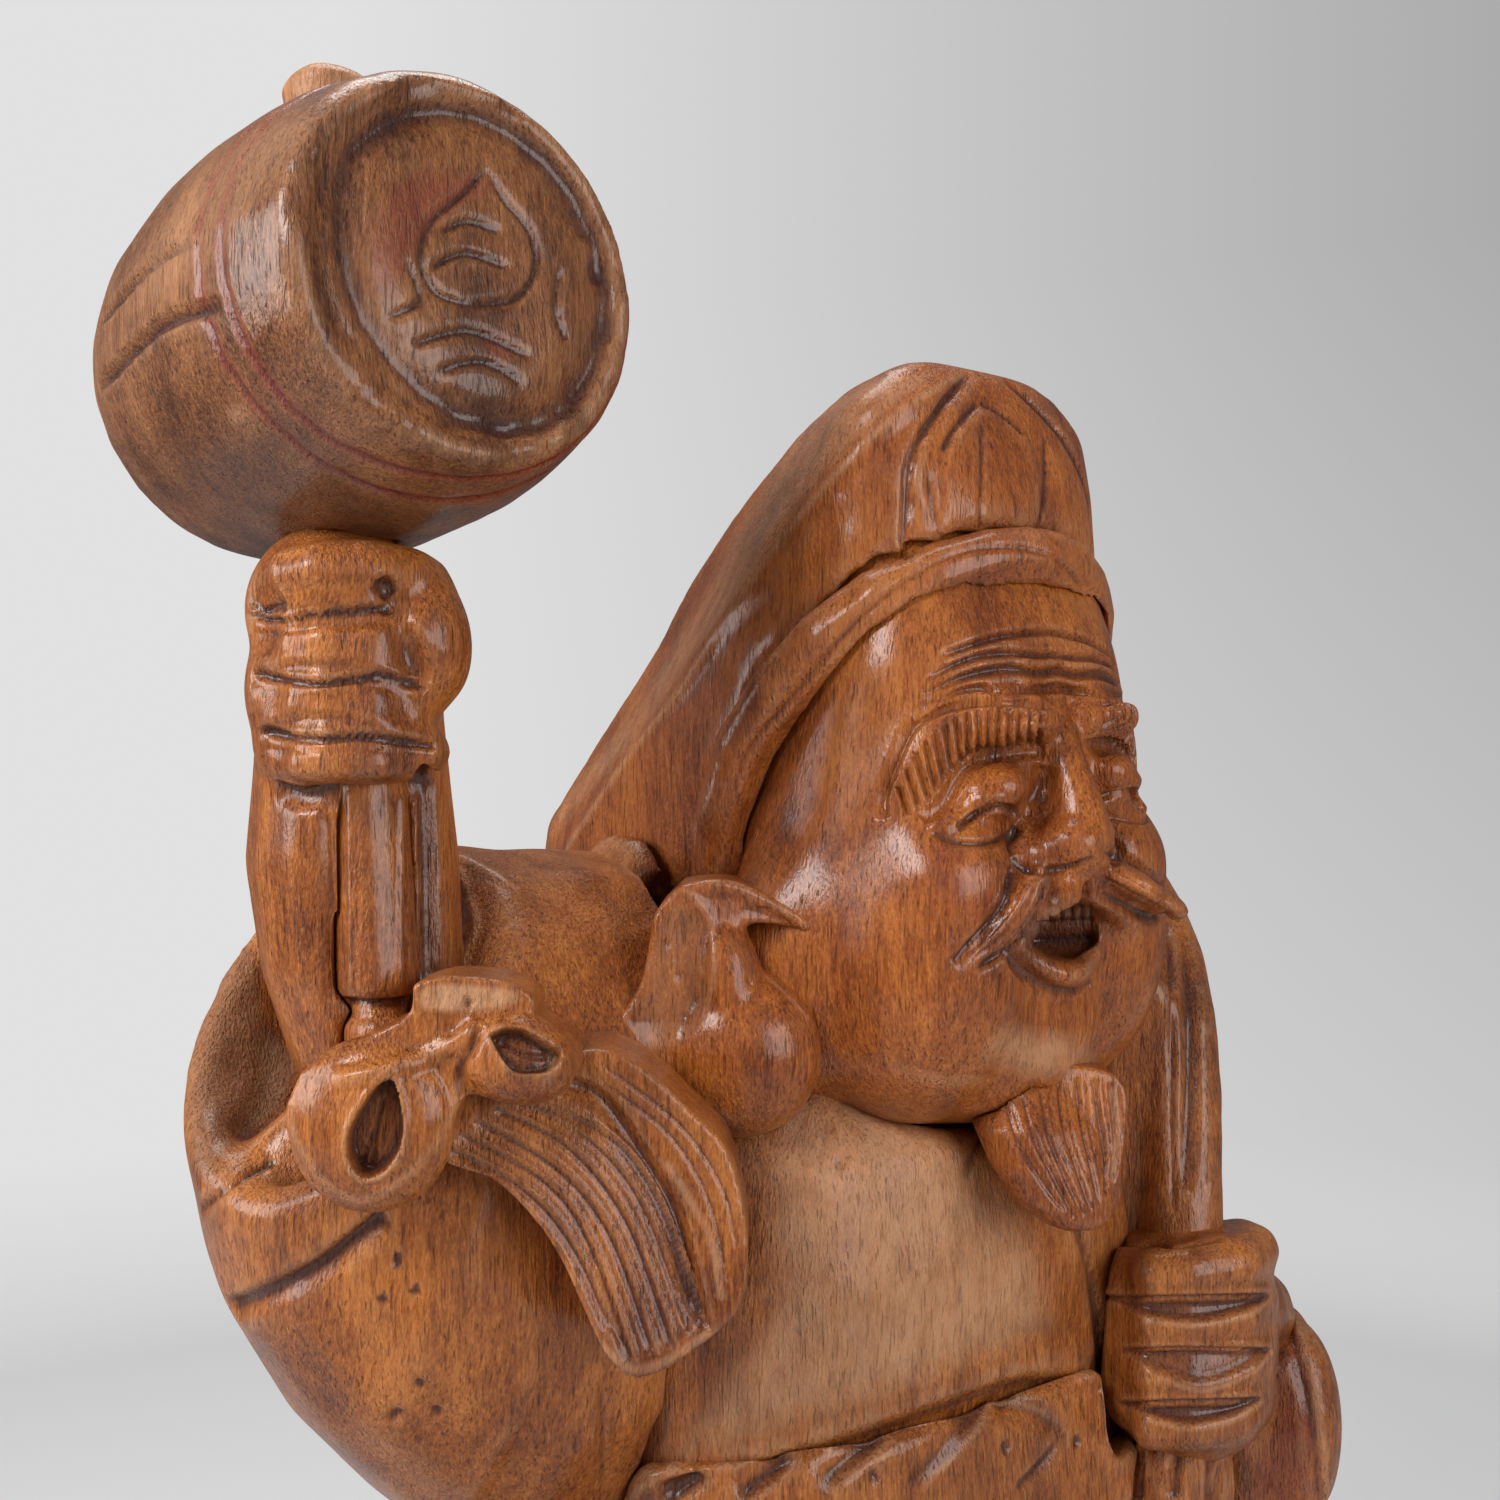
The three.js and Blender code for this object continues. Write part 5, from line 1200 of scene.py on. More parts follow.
# %% [markdown]
# ## The handle and the fist
#
# The handle is a squared stick with bevelled edges. Its end below the fist is cut off square and a
# short stub goes on under it. The fist is hardly more than a block: four broad fingers parted by
# crescent cuts, each sharp along its lower lip, and a thumb that presses on them from the side. Three
# pebbles fill the deep gaps of the frame's fingers and a fourth stands out as the thumb, before the
# cuts are made.

# %% Carve the handle
handle = make_blank("carved_handle", "mallet_handle", 0.62, 8)
melt(handle, (-163, -20, 500), (120, 160, 500), 22)
cuts(handle, [[(350, 792), (351, 990)], [(402, 796), (400, 985)]], 2.4, -0.5, ends=0.05)
cuts(handle, [[(341, 1001), (378, 1004), (414, 1000)]], 3.5, 1.6, ends=0.1)
tint(handle, "pale", [(281, 105), (284, 66), (330, 56), (382, 66), (382, 105)], 0.85, soft=6)
tint(handle, "shade", [(352, 788), (400, 788), (398, 840), (380, 870), (362, 830)], 0.3, soft=14)
finish_piece(handle, "mallet_handle", figure_wood)

# %% Carve the forearm, the fist and the thumb
FIST_CRESCENTS = (
    [(392, 609), (353, 612), (320, 615), (286, 620), (258, 617), (286, 603), (320, 597), (356, 598)],
    [
        (424, 690), (386, 677), (359, 679), (320, 684), (280, 680), (252, 673), (272, 662), (320, 654),
        (379, 662),
    ],
    [
        (436, 748), (392, 740), (359, 737), (320, 740), (286, 737), (260, 731), (276, 715), (320, 707),
        (369, 716),
    ],
)
fist_forms = [
    merged_copy("arm_right"),
    pebble(338, 612, 377, 40, 40, 42),
    pebble(342, 690, 377, 42, 46, 43),
    pebble(345, 745, 378, 40, 26, 42),
    pebble(433, 640, 372, 17, 30, 24, 6),
]
fist = make_blank("carved_arm_right", fist_forms, 0.75, 8)
melt(fist, (-163, -22, 508), (90, 110, 100), 40)
melt(fist, (-165, -10, 455), (120, 130, 230), 30)
cuts(fist, [line[:6] for line in FIST_CRESCENTS], 11, 3.2, lean=-0.65, ends=0.2)
cuts(fist, [line[:6] for line in FIST_CRESCENTS], 2.2, 0.8, ends=0.15)
for crescent in FIST_CRESCENTS:
    ground(fist, crescent, 1.0, soft=12)
    tint(fist, "shade", crescent, 0.22, soft=12)
cuts(fist, [[(276, 786), (302, 794), (337, 789), (404, 786), (428, 768)]], 7, 2.8, lean=0.4, ends=0.15)
cuts(fist, [[(u, v + 7) for u, v in line[:6]] for line in FIST_CRESCENTS], 3.5, -0.8, ends=0.3)
for line, width, depth, ends in (
    ([(384, 578), (394, 606), (408, 650), (420, 684)], 8, 1.7, 0.3),
    ([(378, 580), (392, 596)], 6, 1.6, 0.5),
    ([(414, 616), (430, 650)], 5, -0.6, 0.4),
    ([(423, 764), (426, 850), (428, 985)], 8, 1.5, 0.15),
    ([(328, 800), (330, 880), (332, 1000)], 5, 1.2, 0.15),
):
    cuts(fist, [line], width, depth, ends=ends)
tree = surface(fist)
paint(fist, "shade", seen(tree, [(424, 770), (426, 850), (428, 980)]), 3.5, 0.5)
paint(fist, "pale", seen(tree, [(253, 580), (243, 690), (240, 760)]), 2.5, 0.4)
finish_piece(fist, "arm_right", figure_wood)

# %% [markdown]
# ## The bow and the tassel
#
# A cord is tied round the mallet's handle in a bow and ends in a tassel that lies on the sleeve. Cord
# could be curves with a round section. On the carving it is a flat relief: two broad loops with a
# drop-shaped hollow each, under a knot whose flat top is painted pale as a highlight, and a fan of
# strands that bends down. So each is a board sawn to its outline, rounded over and then cut.

# %% Carve the bow
LEFT_LOOP = [
    (300, 1072), (345, 1046), (400, 1030), (455, 1040), (464, 1082), (457, 1115), (440, 1148), (399, 1190),
    (357, 1208), (316, 1184), (290, 1142), (284, 1112),
]
RIGHT_LOOP = [
    (455, 1040), (470, 1000), (500, 1008), (544, 1026), (573, 1049), (578, 1072), (544, 1092), (496, 1098),
    (457, 1088),
]
KNOT_TOP = [
    (412, 984), (450, 976), (512, 984), (535, 1010), (490, 1050), (420, 1064), (345, 1078), (330, 1060),
    (372, 1034), (408, 1014),
]
LEFT_HOLLOW = [
    (391, 1073), (370, 1090), (348, 1126), (344, 1150), (352, 1172), (366, 1181), (386, 1173), (402, 1150),
    (405, 1122), (401, 1094),
]
RIGHT_HOLLOW = [
    (488, 1034), (504, 1027), (524, 1028), (546, 1040), (563, 1054), (552, 1071), (530, 1075), (512, 1071),
    (497, 1052),
]
bow_forms = [
    pebble(372, 1124, 354, 35, 37, 16),
    pebble(512, 1056, 358, 28, 20, 18, -18),
    board(LEFT_LOOP, 352, 20, (0.05, 0.0)),
    board(RIGHT_LOOP, 356, 22, (0.25, 0.0)),
    board(KNOT_TOP, 353, 20, (0.15, -0.1)),
]
bow = make_blank("carved_bow", bow_forms, 0.5, 4)
melt(bow, (-158, -43, 415), (110, 90, 90), 26)
ground(bow, LEFT_HOLLOW, 5.5, soft=7)
ground(bow, RIGHT_HOLLOW, 5.0, soft=6)
cuts(bow, [[*LEFT_HOLLOW[6:], *LEFT_HOLLOW[:7]]], 2.2, -0.5, ends=0)
cuts(bow, [[(330, 1080), (374, 1072), (420, 1060), (458, 1040), (478, 1018)]], 6, -1.3, ends=0.3)
cuts(bow, [[(462, 1098), (458, 1070), (470, 1046), (476, 1026)]], 4, 1.5, lean=0.4, ends=0.2)
hollow_folds = [(384, 1096), (376, 1130), (372, 1170)], [(376, 1130), (362, 1164)]
cuts(bow, hollow_folds, 1.8, 0.8, ends=0.2, power=1.3)
cuts(bow, [[(500, 1042), (520, 1054), (548, 1058)]], 1.8, 0.7, ends=0.2, power=1.3)
cuts(bow, [[(462, 1003), (472, 1007)]], 3.4, 1.8, ends=0.5)
# Painted highlight on the flat top of the knot, painted shade in the two hollows and painted highlights along
# the rims of the loops.
tint(bow, "pale", [(414, 990), (440, 980), (512, 986), (522, 1004), (480, 1014), (420, 1012)], 1.0, soft=9)
tint(bow, "shade", LEFT_HOLLOW, 0.45, soft=10)
tint(bow, "shade", RIGHT_HOLLOW, 0.6, soft=10)
tree = surface(bow)
for line in (LEFT_LOOP[4:], [(540, 1030), (566, 1050), (560, 1080)], [(334, 1080), (390, 1066), (450, 1040)]):
    paint(bow, "pale", seen(tree, shrunk(line, (372, 1100), 0.93)), 1.6, 0.45)
finish_piece(bow, "bow", figure_wood)

# %% Carve the tassel
TASSEL_OUTLINE = [
    (440, 1112), (480, 1080), (540, 1062), (600, 1049), (648, 1072), (690, 1111), (726, 1149), (744, 1211),
    (748, 1265), (740, 1308), (714, 1336), (690, 1354), (660, 1373), (631, 1378), (606, 1356), (585, 1314),
    (565, 1269), (536, 1223), (494, 1182), (438, 1158),
]
TASSEL_STRANDS = (
    [(448, 1148), (523, 1190), (573, 1248), (612, 1332)],
    [(457, 1132), (544, 1182), (589, 1244), (632, 1362)],
    [(473, 1119), (556, 1169), (610, 1236), (653, 1352)],
    [(494, 1107), (569, 1149), (627, 1223), (673, 1347)],
    [(511, 1099), (589, 1140), (643, 1207), (690, 1330)],
    [(531, 1099), (606, 1136), (656, 1202), (698, 1316)],
)
tassel = make_blank("carved_tassel", [board(TASSEL_OUTLINE, 367, 26, (0.16, 0.08))], 0.6, 4)
melt(tassel, (-122, -52, 392), (120, 90, 110), 9)
cuts(tassel, TASSEL_STRANDS, 3.6, 1.3, lean=0.35, ends=0.08, power=1.3)
halfway = [np.add(one, two) / 2 for one, two in zip(TASSEL_STRANDS, TASSEL_STRANDS[1:])]
cuts(tassel, halfway, 1.8, 0.6, ends=0.12, power=1.2)
broad_cut = [(560, 1080), (600, 1096), (639, 1149), (677, 1215), (697, 1298), (706, 1333)]
outer_strands = (
    [(585, 1070), (668, 1132), (710, 1202), (728, 1282)],
    [(600, 1062), (680, 1124), (724, 1190), (738, 1250)],
)
cuts(tassel, [broad_cut], 7, 2.6, lean=0.3, ends=0.1)
cuts(tassel, outer_strands, 1.8, 0.6, ends=0.2, power=1.2)
# Painted highlights along the outer strands, along the lower ends and on the lip of each strand.
tree = surface(tassel)
paint(tassel, "pale", seen(tree, [(668, 1165), (690, 1200), (712, 1244), (722, 1296)]), 1.3, 0.6)
paint(tassel, "pale", seen(tree, [(596, 1340), (630, 1368), (664, 1362), (708, 1334)]), 1.6, 0.5)
for line in TASSEL_STRANDS:
    paint(tassel, "pale", seen(tree, [(u + 6, v + 1) for u, v in line]), 0.7, 0.35)
finish_piece(tassel, "tassel", figure_wood)

# %% [markdown]
# ## The raised sleeve
#
# The sleeve hangs open round the raised arm. Its mouth is a scooped hollow, given painted shade and a
# pale painted sheen, and below it runs a hem that is set off by one deep stepped cut. The rest is left
# smooth, with a few knots and small pits. Cloth could be simulated; here the folds are the few broad
# ones that the carver chose.

# %% Carve the sleeve of the raised arm
SLEEVE_MOUTH = [
    (182, 1010), (200, 962), (243, 918), (258, 955), (276, 1030), (300, 1062), (284, 1108), (240, 1146),
    (197, 1184), (183, 1120),
]
SHOULDER_SHADE_STRIP = [(442, 885), (470, 895), (474, 930), (464, 960), (472, 984), (440, 984)]
SLEEVE_BAND = [
    (194, 1200), (240, 1150), (284, 1110), (322, 1086), (334, 1150), (290, 1205), (232, 1236), (204, 1230),
]
SLEEVE_PITS = (
    [(398, 1252), (397, 1268)], [(412, 1287), (419, 1294)], [(378, 1296), (386, 1303)],
    [(415, 1380), (424, 1388)], [(433, 1408), (441, 1415)], [(388, 1422), (402, 1409)],
)
SHOULDER_LINES = (
    [(440, 850), (456, 868), (470, 892)],
    [(440, 850), (480, 866), (515, 888)],
    [(470, 895), (476, 930), (464, 960), (472, 984)],
)
sleeve_forms = [merged_copy("sleeve_right"), board(SLEEVE_BAND, 380, 12, (0.0, 0.3))]
sleeve = make_blank("carved_sleeve_right", sleeve_forms, 1.15, 8, first=3.2)
melt(sleeve, (-192, 0, 432), (80, 110, 150), 40)
cuts(sleeve, [[(274, 1010), (250, 1030), (250, 1066), (234, 1107), (202, 1142)]], 12, -0.9, ends=0.4)
cuts(sleeve, [[(200, 1208), (233, 1183), (274, 1160)]], 3.0, 1.1, lean=0.4, ends=0.25)
lower_fold = [(222, 1308), (270, 1290), (316, 1266), (350, 1240), (384, 1212)]
cuts(sleeve, [lower_fold], 7.5, 2.4, lean=0.45, ends=0.05)
cuts(sleeve, SLEEVE_PITS, 3.4, 1.2, ends=0.5)
cuts(sleeve, [[(540, 1352), (511, 1422), (469, 1497)]], 9, -0.8, ends=0.2)
cuts(sleeve, [[(602, 1380), (603, 1440), (601, 1498)]], 2.4, 0.5, ends=0.2)
cuts(sleeve, SHOULDER_LINES, 4, -0.7, ends=0.2)
# Painted shade and a pale painted sheen in the mouth, and painted shade on a strip of the shoulder.
tint(sleeve, "shade", SLEEVE_MOUTH, 0.6, soft=12)
tint(sleeve, "pale", SLEEVE_MOUTH, 0.4, soft=12)
tint(sleeve, "shade", SHOULDER_SHADE_STRIP, 0.45, soft=8)
tint(sleeve, "shade", [(240, 1312), (276, 1316), (272, 1366), (250, 1372)], 0.4, soft=14)
tree = surface(sleeve)
# Painted highlights along the lines of the shoulder.
for line in SHOULDER_LINES:
    paint(sleeve, "pale", seen(tree, line), 1.4, 0.7)
paint(sleeve, "pale", seen(tree, [(187, 1196), (186, 1230), (200, 1270)]), 3, 0.6)
paint(sleeve, "pale", seen(tree, [(200, 1196), (240, 1158), (290, 1112)]), 1.2, 0.6)
paint(sleeve, "shade", seen(tree, [(230, 1300), (316, 1262), (376, 1214)]), 3, 0.5)
finish_piece(sleeve, "sleeve_right", figure_wood)

# %% [markdown]
# ## The body of the robe and its sash
#
# The robe is one big smooth form over a round belly. The plane of the chest is painted paler than the
# rest as a painted sheen, and a sharp edge marks where one side of the robe laps over the other. The
# sash is sunk under that plane; leaf-shaped gouge cuts below its upper edge stand for its folds.

# %% Carve the body
CHEST_PLANE = [
    (745, 1095), (850, 1075), (960, 1120), (1040, 1215), (1060, 1330), (960, 1392), (820, 1440), (650, 1480),
    (700, 1380), (750, 1290),
]
ROBE_LAP = [(1000, 1118), (1040, 1160), (1078, 1222), (1096, 1300), (1104, 1385)]
CHEST_LIP = [(640, 1482), (706, 1462), (792, 1440), (890, 1408), (980, 1376), (1030, 1364), (1088, 1370)]
CHEST_PITS = [(836, 1160), (841, 1170)], [(796, 1322), (800, 1330)], [(766, 1296), (770, 1302)]
robe = make_blank("carved_robe", "robe_torso", 1.75, 6, first=4.2)
tree = surface(robe)
stroke(robe, seen(tree, ROBE_LAP), 6, 1.5, lean=0.4, ends=0.1)
cuts(robe, CHEST_PITS, 4.0, 0.9, ends=0.5)
for x, sway in ((-60, 8), (-24, 3), (22, -4), (58, -9)):
    fold = [(x, 62, 452), (x + sway, 66, 400), (x + 2 * sway, 66, 330)]
    stroke(robe, laid(tree, fold), 13, 1.6, lean=-math.copysign(0.3, x), ends=0.3)
collar = [(52, 20, 466), (40, -40, 452), (8, -64, 418), (-18, -68, 380)]
stroke(robe, laid(tree, collar), 5, 1.3, lean=0.3, ends=0.1)
stroke(robe, seen(surface(robe), CHEST_LIP), 16, -2.0, lean=-0.4, ends=0.1)
# Painted sheen on the plane of the chest.
tint(robe, "pale", CHEST_PLANE, 0.9, soft=50)
paint(robe, "pale", seen(tree, ROBE_LAP), 2, 0.35)
finish_piece(robe, "robe_torso", figure_wood)

# %% Carve the sash
SASH_LEAVES = (
    [(983, 1399), (958, 1438), (916, 1480)],
    [(884, 1434), (855, 1460), (824, 1486)],
    [(790, 1458), (768, 1479), (742, 1500)],
    [(704, 1477), (668, 1500)],
    [(984, 1398), (1028, 1404), (1056, 1424), (1060, 1440)],
)
SASH_NICKS = [(1004, 1440), (1008, 1454)], [(1076, 1436), (1078, 1448)], [(872, 1470), (877, 1482)]
SASH_FRONT = [
    (600, 1560), (630, 1490), (706, 1464), (792, 1440), (890, 1408), (980, 1378), (1040, 1366), (1112, 1374),
    (1124, 1440), (1120, 1560), (860, 1580),
]
sash = make_blank("carved_sash", "sash", 1.1, 6, first=2.2)
ground(sash, SASH_FRONT, 3.0, soft=26)
cuts(sash, SASH_LEAVES, 9, 3.0, lean=0.5, ends=0.35, power=1.3)
soften(sash, 5)
melt(sash, (-40, -74, 318), (150, 60, 26), 10)
cuts(sash, [[(1058, 1440), (1040, 1464), (1016, 1488)]], 5, 1.2, lean=-0.4, ends=0.4)
cuts(sash, SASH_NICKS, 3.6, 1.4, ends=0.5)
tree = surface(sash)
for x in (-70, -35, 0, 35, 70):
    leaf = laid(tree, [(x - 10, 72, 300), (x, 72, 292), (x + 8, 72, 276)])
    stroke(sash, leaf, 8, 2.0, lean=0.4, ends=0.35)
front_fold = laid(tree, [(-60, -66, 284), (-20, -74, 280), (30, -74, 280), (80, -60, 286)])
stroke(sash, front_fold, 7, 1.6, lean=0.4, ends=0.2)
# Painted shade in each leaf cut and painted highlights on its lower lip.
for leaf in SASH_LEAVES:
    paint(sash, "shade", seen(tree, leaf), 3.2, 0.6)
    paint(sash, "pale", seen(tree, [(u + 9, v + 5) for u, v in leaf]), 1.2, 0.45)
finish_piece(sash, "sash", figure_wood)

# %% [markdown]
# ## The hand at the sack
#
# The left hand grips the gathered mouth of the sack. Its fingers are one rounded mass parted by three
# crescents, straight above and round below, whose floors get painted shade and whose lower lips get
# painted highlights. The cloth above the hand is a smooth roll with one long scoop; below the hand it
# spreads in upright folds.

# %% Carve the left hand
HAND_CRESCENTS = (
    [(1103, 1297), (1150, 1298), (1210, 1297), (1271, 1295), (1250, 1312), (1200, 1323), (1145, 1317)],
    [(1122, 1351), (1180, 1349), (1230, 1350), (1272, 1349), (1252, 1370), (1205, 1387), (1158, 1376)],
    [(1117, 1404), (1180, 1402), (1226, 1401), (1262, 1399), (1235, 1417), (1190, 1426), (1148, 1417)],
)
hand_forms = [
    merged_copy("hand_left"),
    pebble(1184, 1290, 483, 49, 44, 51),
    pebble(1186, 1378, 483, 49, 44, 51),
    pebble(1186, 1335, 483, 51, 44, 51),
]
hand = make_blank("carved_hand_left", hand_forms, 0.75, 6, first=2.0)
melt(hand, (78, -80, 330), (130, 100, 130), 45)
# Each crescent is sunk and given painted shade.
for crescent in HAND_CRESCENTS:
    ground(hand, crescent, 2.2, soft=8)
    tint(hand, "shade", crescent, 0.5, soft=6)
cuts(hand, [line[:4] for line in HAND_CRESCENTS], 2.6, 1.0, ends=0.1)
cuts(hand, [[(u, v - 6) for u, v in line[:4]] for line in HAND_CRESCENTS], 3, -0.6, ends=0.2)
cuts(hand, [[(1118, 1243), (1170, 1246), (1224, 1238)]], 5, 1.4, ends=0.3)
tree = surface(hand)
# Painted highlights along the lower lips of the crescents.
for crescent in HAND_CRESCENTS:
    paint(hand, "pale", seen(tree, [(u, v + 3) for u, v in crescent[3:]]), 1.2, 0.6)
finish_piece(hand, "hand_left", figure_wood)

# %% Carve the gathered mouth of the sack
CLOTH_BESIDE_BEARD = [
    (1104, 985), (1170, 985), (1174, 1060), (1174, 1150), (1174, 1236), (1096, 1240), (1100, 1150),
    (1104, 1060),
]
BELOW_HAND = (
    [(1140, 1448), (1138, 1500)], [(1180, 1448), (1176, 1500)], [(1214, 1446), (1212, 1500)],
    [(1236, 1440), (1240, 1500)],
)
NECK_SCOOP_SHADE = [(1178, 940), (1196, 1000), (1198, 1120), (1188, 1196), (1178, 1180), (1182, 1060)]
neck_forms = [merged_copy("sack_neck"), board(CLOTH_BESIDE_BEARD, 482, 14, (0.1, 0.0))]
neck = make_blank("carved_sack_neck", neck_forms, 1.1, 8, first=2.4)
cuts(neck, [[(1184, 930), (1190, 990), (1191, 1060), (1189, 1130), (1184, 1192)]], 8, 2.0, ends=0.35)
cuts(neck, [[(1166, 920), (1172, 1000), (1172, 1110), (1174, 1215)]], 3.4, 1.0, ends=0.1)
cuts(neck, BELOW_HAND, 6, 1.9, lean=0.3, ends=0.1)
tree = surface(neck)
for off in (-16, 0, 14):
    fold = [(78 + off, -96, 296), (78 + off * 1.3, -98, 276), (78 + off * 1.5, -96, 258)]
    stroke(neck, laid(tree, fold), 6, 1.8, ends=0.2)
for off in (-8, 2, 11):
    roll = [(70 + 1.4 * off, -52, 440), (96 + off, -4, 480), (92 + 0.8 * off, 34, 480), (76 + off, 66, 452)]
    stroke(neck, laid(tree, roll), 6, 1.3, lean=0.3, ends=0.25)
# Painted shade in the long scoop.
tint(neck, "shade", NECK_SCOOP_SHADE, 0.35, soft=6)
finish_piece(neck, "sack_neck", figure_wood)

# %% Carve the sleeve on the left
LEFT_SLEEVE_EDGE = [(1240, 1226), (1274, 1266), (1304, 1318), (1322, 1380), (1332, 1440), (1337, 1500)]
LEFT_SLEEVE_REDDENED = [(1276, 1290), (1310, 1330), (1326, 1500), (1240, 1500), (1270, 1420)]
left_sleeve_forms = [merged_copy("sleeve_left"), pebble(1296, 1420, 506, 25, 60, 34)]
left_sleeve = make_blank("carved_sleeve_left", left_sleeve_forms, 1.3, 6, first=3.4)
tree = surface(left_sleeve)
edge_line = seen(tree, [(u - 16, v + 6) for u, v in LEFT_SLEEVE_EDGE])
stroke(left_sleeve, edge_line, 6, 1.4, lean=0.3, ends=0.1)
for fold in (
    [(110, -60, 420), (124, -50, 270)],
    [(122, -20, 430), (136, -10, 262)],
    [(112, 20, 440), (122, 20, 270)],
):
    stroke(left_sleeve, laid(tree, fold), 14, 2.0, lean=0.4, ends=0.25)
tint(left_sleeve, "pigment", LEFT_SLEEVE_REDDENED, 0.45, soft=20)
worn_line = seen(surface(left_sleeve), [(u - 9, v + 4) for u, v in LEFT_SLEEVE_EDGE])
paint(left_sleeve, "pale", worn_line, 2.2, 0.7)
finish_piece(left_sleeve, "sleeve_left", figure_wood)

# %% Carve the sack
SACK_MIDDLE = 56
sack = make_blank("carved_sack", "sack_body", 1.8, 6, first=4.2)
tree = surface(sack)
for number in range(7):
    off = 19 * number - 58
    lean = 0.3 if number % 2 else -0.3
    shares = ((0.4, 110, 470), (0.9, 134, 425), (1, 138, 350), (0.8, 120, 296))
    fold = [(SACK_MIDDLE + off * share, y, z) for share, y, z in shares]
    stroke(sack, laid(tree, fold), 13, 2.4, lean=lean, ends=0.4)
finish_piece(sack, "sack_body", dark_wood)

# %% [markdown]
# ## Skirt, trousers and boots
#
# The picture ends at the sash. What is under it follows the traditional figure: the robe's skirt in
# flat pleats with a hem, full trousers gathered at the ankle, and plain boots with a sole line.

# %% Carve the skirt of the robe
skirt = make_blank("carved_skirt", "robe_skirt", 2.1, 6, first=3.6)
tree = surface(skirt)
for y in (-90, 84):
    for x in (-84, -58, -32, -8, 16, 42, 68, 92):
        pleat = laid(tree, [(x * 0.86, y * 0.86, 300), (x * 0.96, y, 262), (x, y, 214)])
        stroke(skirt, pleat, 11, 2.6, lean=-math.copysign(0.5, x), ends=0.12)
for side in (-1, 1):
    for y in (-45, -15, 15, 45):
        pleat = laid(tree, [(side * 96, y * 0.85, 300), (side * 116, y, 216)])
        stroke(skirt, pleat, 10, 2.2, lean=0.4, ends=0.15)
turns = np.linspace(0, 2 * math.pi, 41)[:, None]
hem = laid(tree, np.hstack([118 * np.cos(turns), 88 * np.sin(turns), np.full_like(turns, 225)]), 160)
stroke(skirt, hem, 3.4, 1.2, ends=0)
finish_piece(skirt, "robe_skirt", figure_wood)

# %% Carve the trousers
LEG_MIDDLE = 46
trousers = make_blank("carved_trousers", "trousers", 2.0, 5, first=3.4)
tree = surface(trousers)
for side in (-1, 1):
    for y in (-60, 56):
        for off in (-30, -10, 10, 30):
            shares = ((1.2, 226), (1.1, 196), (0.5, 154))
            fold = [(side * LEG_MIDDLE + off * share, y, z) for share, z in shares]
            stroke(trousers, laid(tree, fold), 9, 2.2, lean=-math.copysign(0.4, off), ends=0.3)
    for y in (-26, 0, 24):
        fold = laid(tree, [(side * 96, y, 222), (side * 92, y * 0.8, 188), (side * 76, y * 0.5, 154)])
        stroke(trousers, fold, 9, 2.0, ends=0.3)
finish_piece(trousers, "trousers", figure_wood)

# %% Carve the boots
right_boot = make_blank("carved_boot_right", "boot_right", 1.3, 6, first=2.4)
tree = surface(right_boot)
sole_line = np.hstack([-LEG_MIDDLE + 30 * np.cos(turns), -26 + 58 * np.sin(turns), np.full_like(turns, 122)])
stroke(right_boot, laid(tree, sole_line, 120), 2.8, 1.2, ends=0)
for y in (-24, -14, -4):
    crease = laid(tree, [(-70, y, 134), (-LEG_MIDDLE, y - 2, 150), (-22, y, 134)])
    stroke(right_boot, crease, 3.6, 1.0, ends=0.2)
toe_seam = laid(tree, [(-LEG_MIDDLE, y, z) for y, z in ((-72, 130), (-52, 140), (-30, 146))])
stroke(right_boot, toe_seam, 3, 0.9, ends=0.2)
left_boot = mirror_blank(right_boot, "carved_boot_left")
finish_piece(right_boot, "boot_right", dark_wood)
finish_piece(left_boot, "boot_left", dark_wood)

# %% [markdown]
# ## Rice bales and base
#
# The bales are cut as bundles of straw: long grooves along the side between the ropes, and at each
# end the straw is folded in towards the middle. The base is a plain board with a line round its side.

# %% Carve the rice bales
BALE_X, BALE_Z = -61, 67
BALE_END = 96
bale = make_blank("carved_bale_right", "rice_bale_right", 1.75, 16)
tree = surface(bale)
for degrees in range(0, 360, 10):
    across, up = math.cos(math.radians(degrees)), math.sin(math.radians(degrees))
    straw = [(BALE_X + 60 * across, y, BALE_Z + 60 * up) for y in (-88, 0, 88)]
    stroke(bale, laid(tree, straw, 50), 4.2, 1.1, ends=0.04, lean=0.2)
    for y in (-BALE_END, BALE_END):
        spoke = [(BALE_X + r * across, y, BALE_Z + r * up) for r in (42, 26, 10)]
        stroke(bale, laid(tree, spoke, 12), 3.6, 1.2, ends=0.2)
for y in (-BALE_END, BALE_END):
    swell(bale, (BALE_X, y * 0.95, BALE_Z), (22, 30, 22), -1.5)
other_bale = mirror_blank(bale, "carved_bale_left")
finish_piece(bale, "rice_bale_right", figure_wood)
finish_piece(other_bale, "rice_bale_left", figure_wood)

# %% Cut the base
def squared(values):
    """Sines or cosines bulged towards a square."""
    return np.sign(values) * abs(values) ** 0.55


base = make_blank("carved_base", "base", 3.0, 6)
side_line = np.hstack([140 * squared(np.cos(turns)), 122 * squared(np.sin(turns)), np.full_like(turns, 10)])
stroke(base, laid(surface(base), side_line, 200), 4.0, 1.2, ends=0)
finish_piece(base, "base", dark_wood)

# %% [markdown]
# ## Pegs and dowels
#
# The blocks are pegged together. The pegs are turned sticks, hidden in their holes, and their CAD
# solids are already right. They only get their paler wood.

# %% Give the pegs their wood
for name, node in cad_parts.items():
    if "dowel" in name or "peg" in name:
        node.data.materials.clear()
        node.data.materials.append(peg_wood)
        print(name)

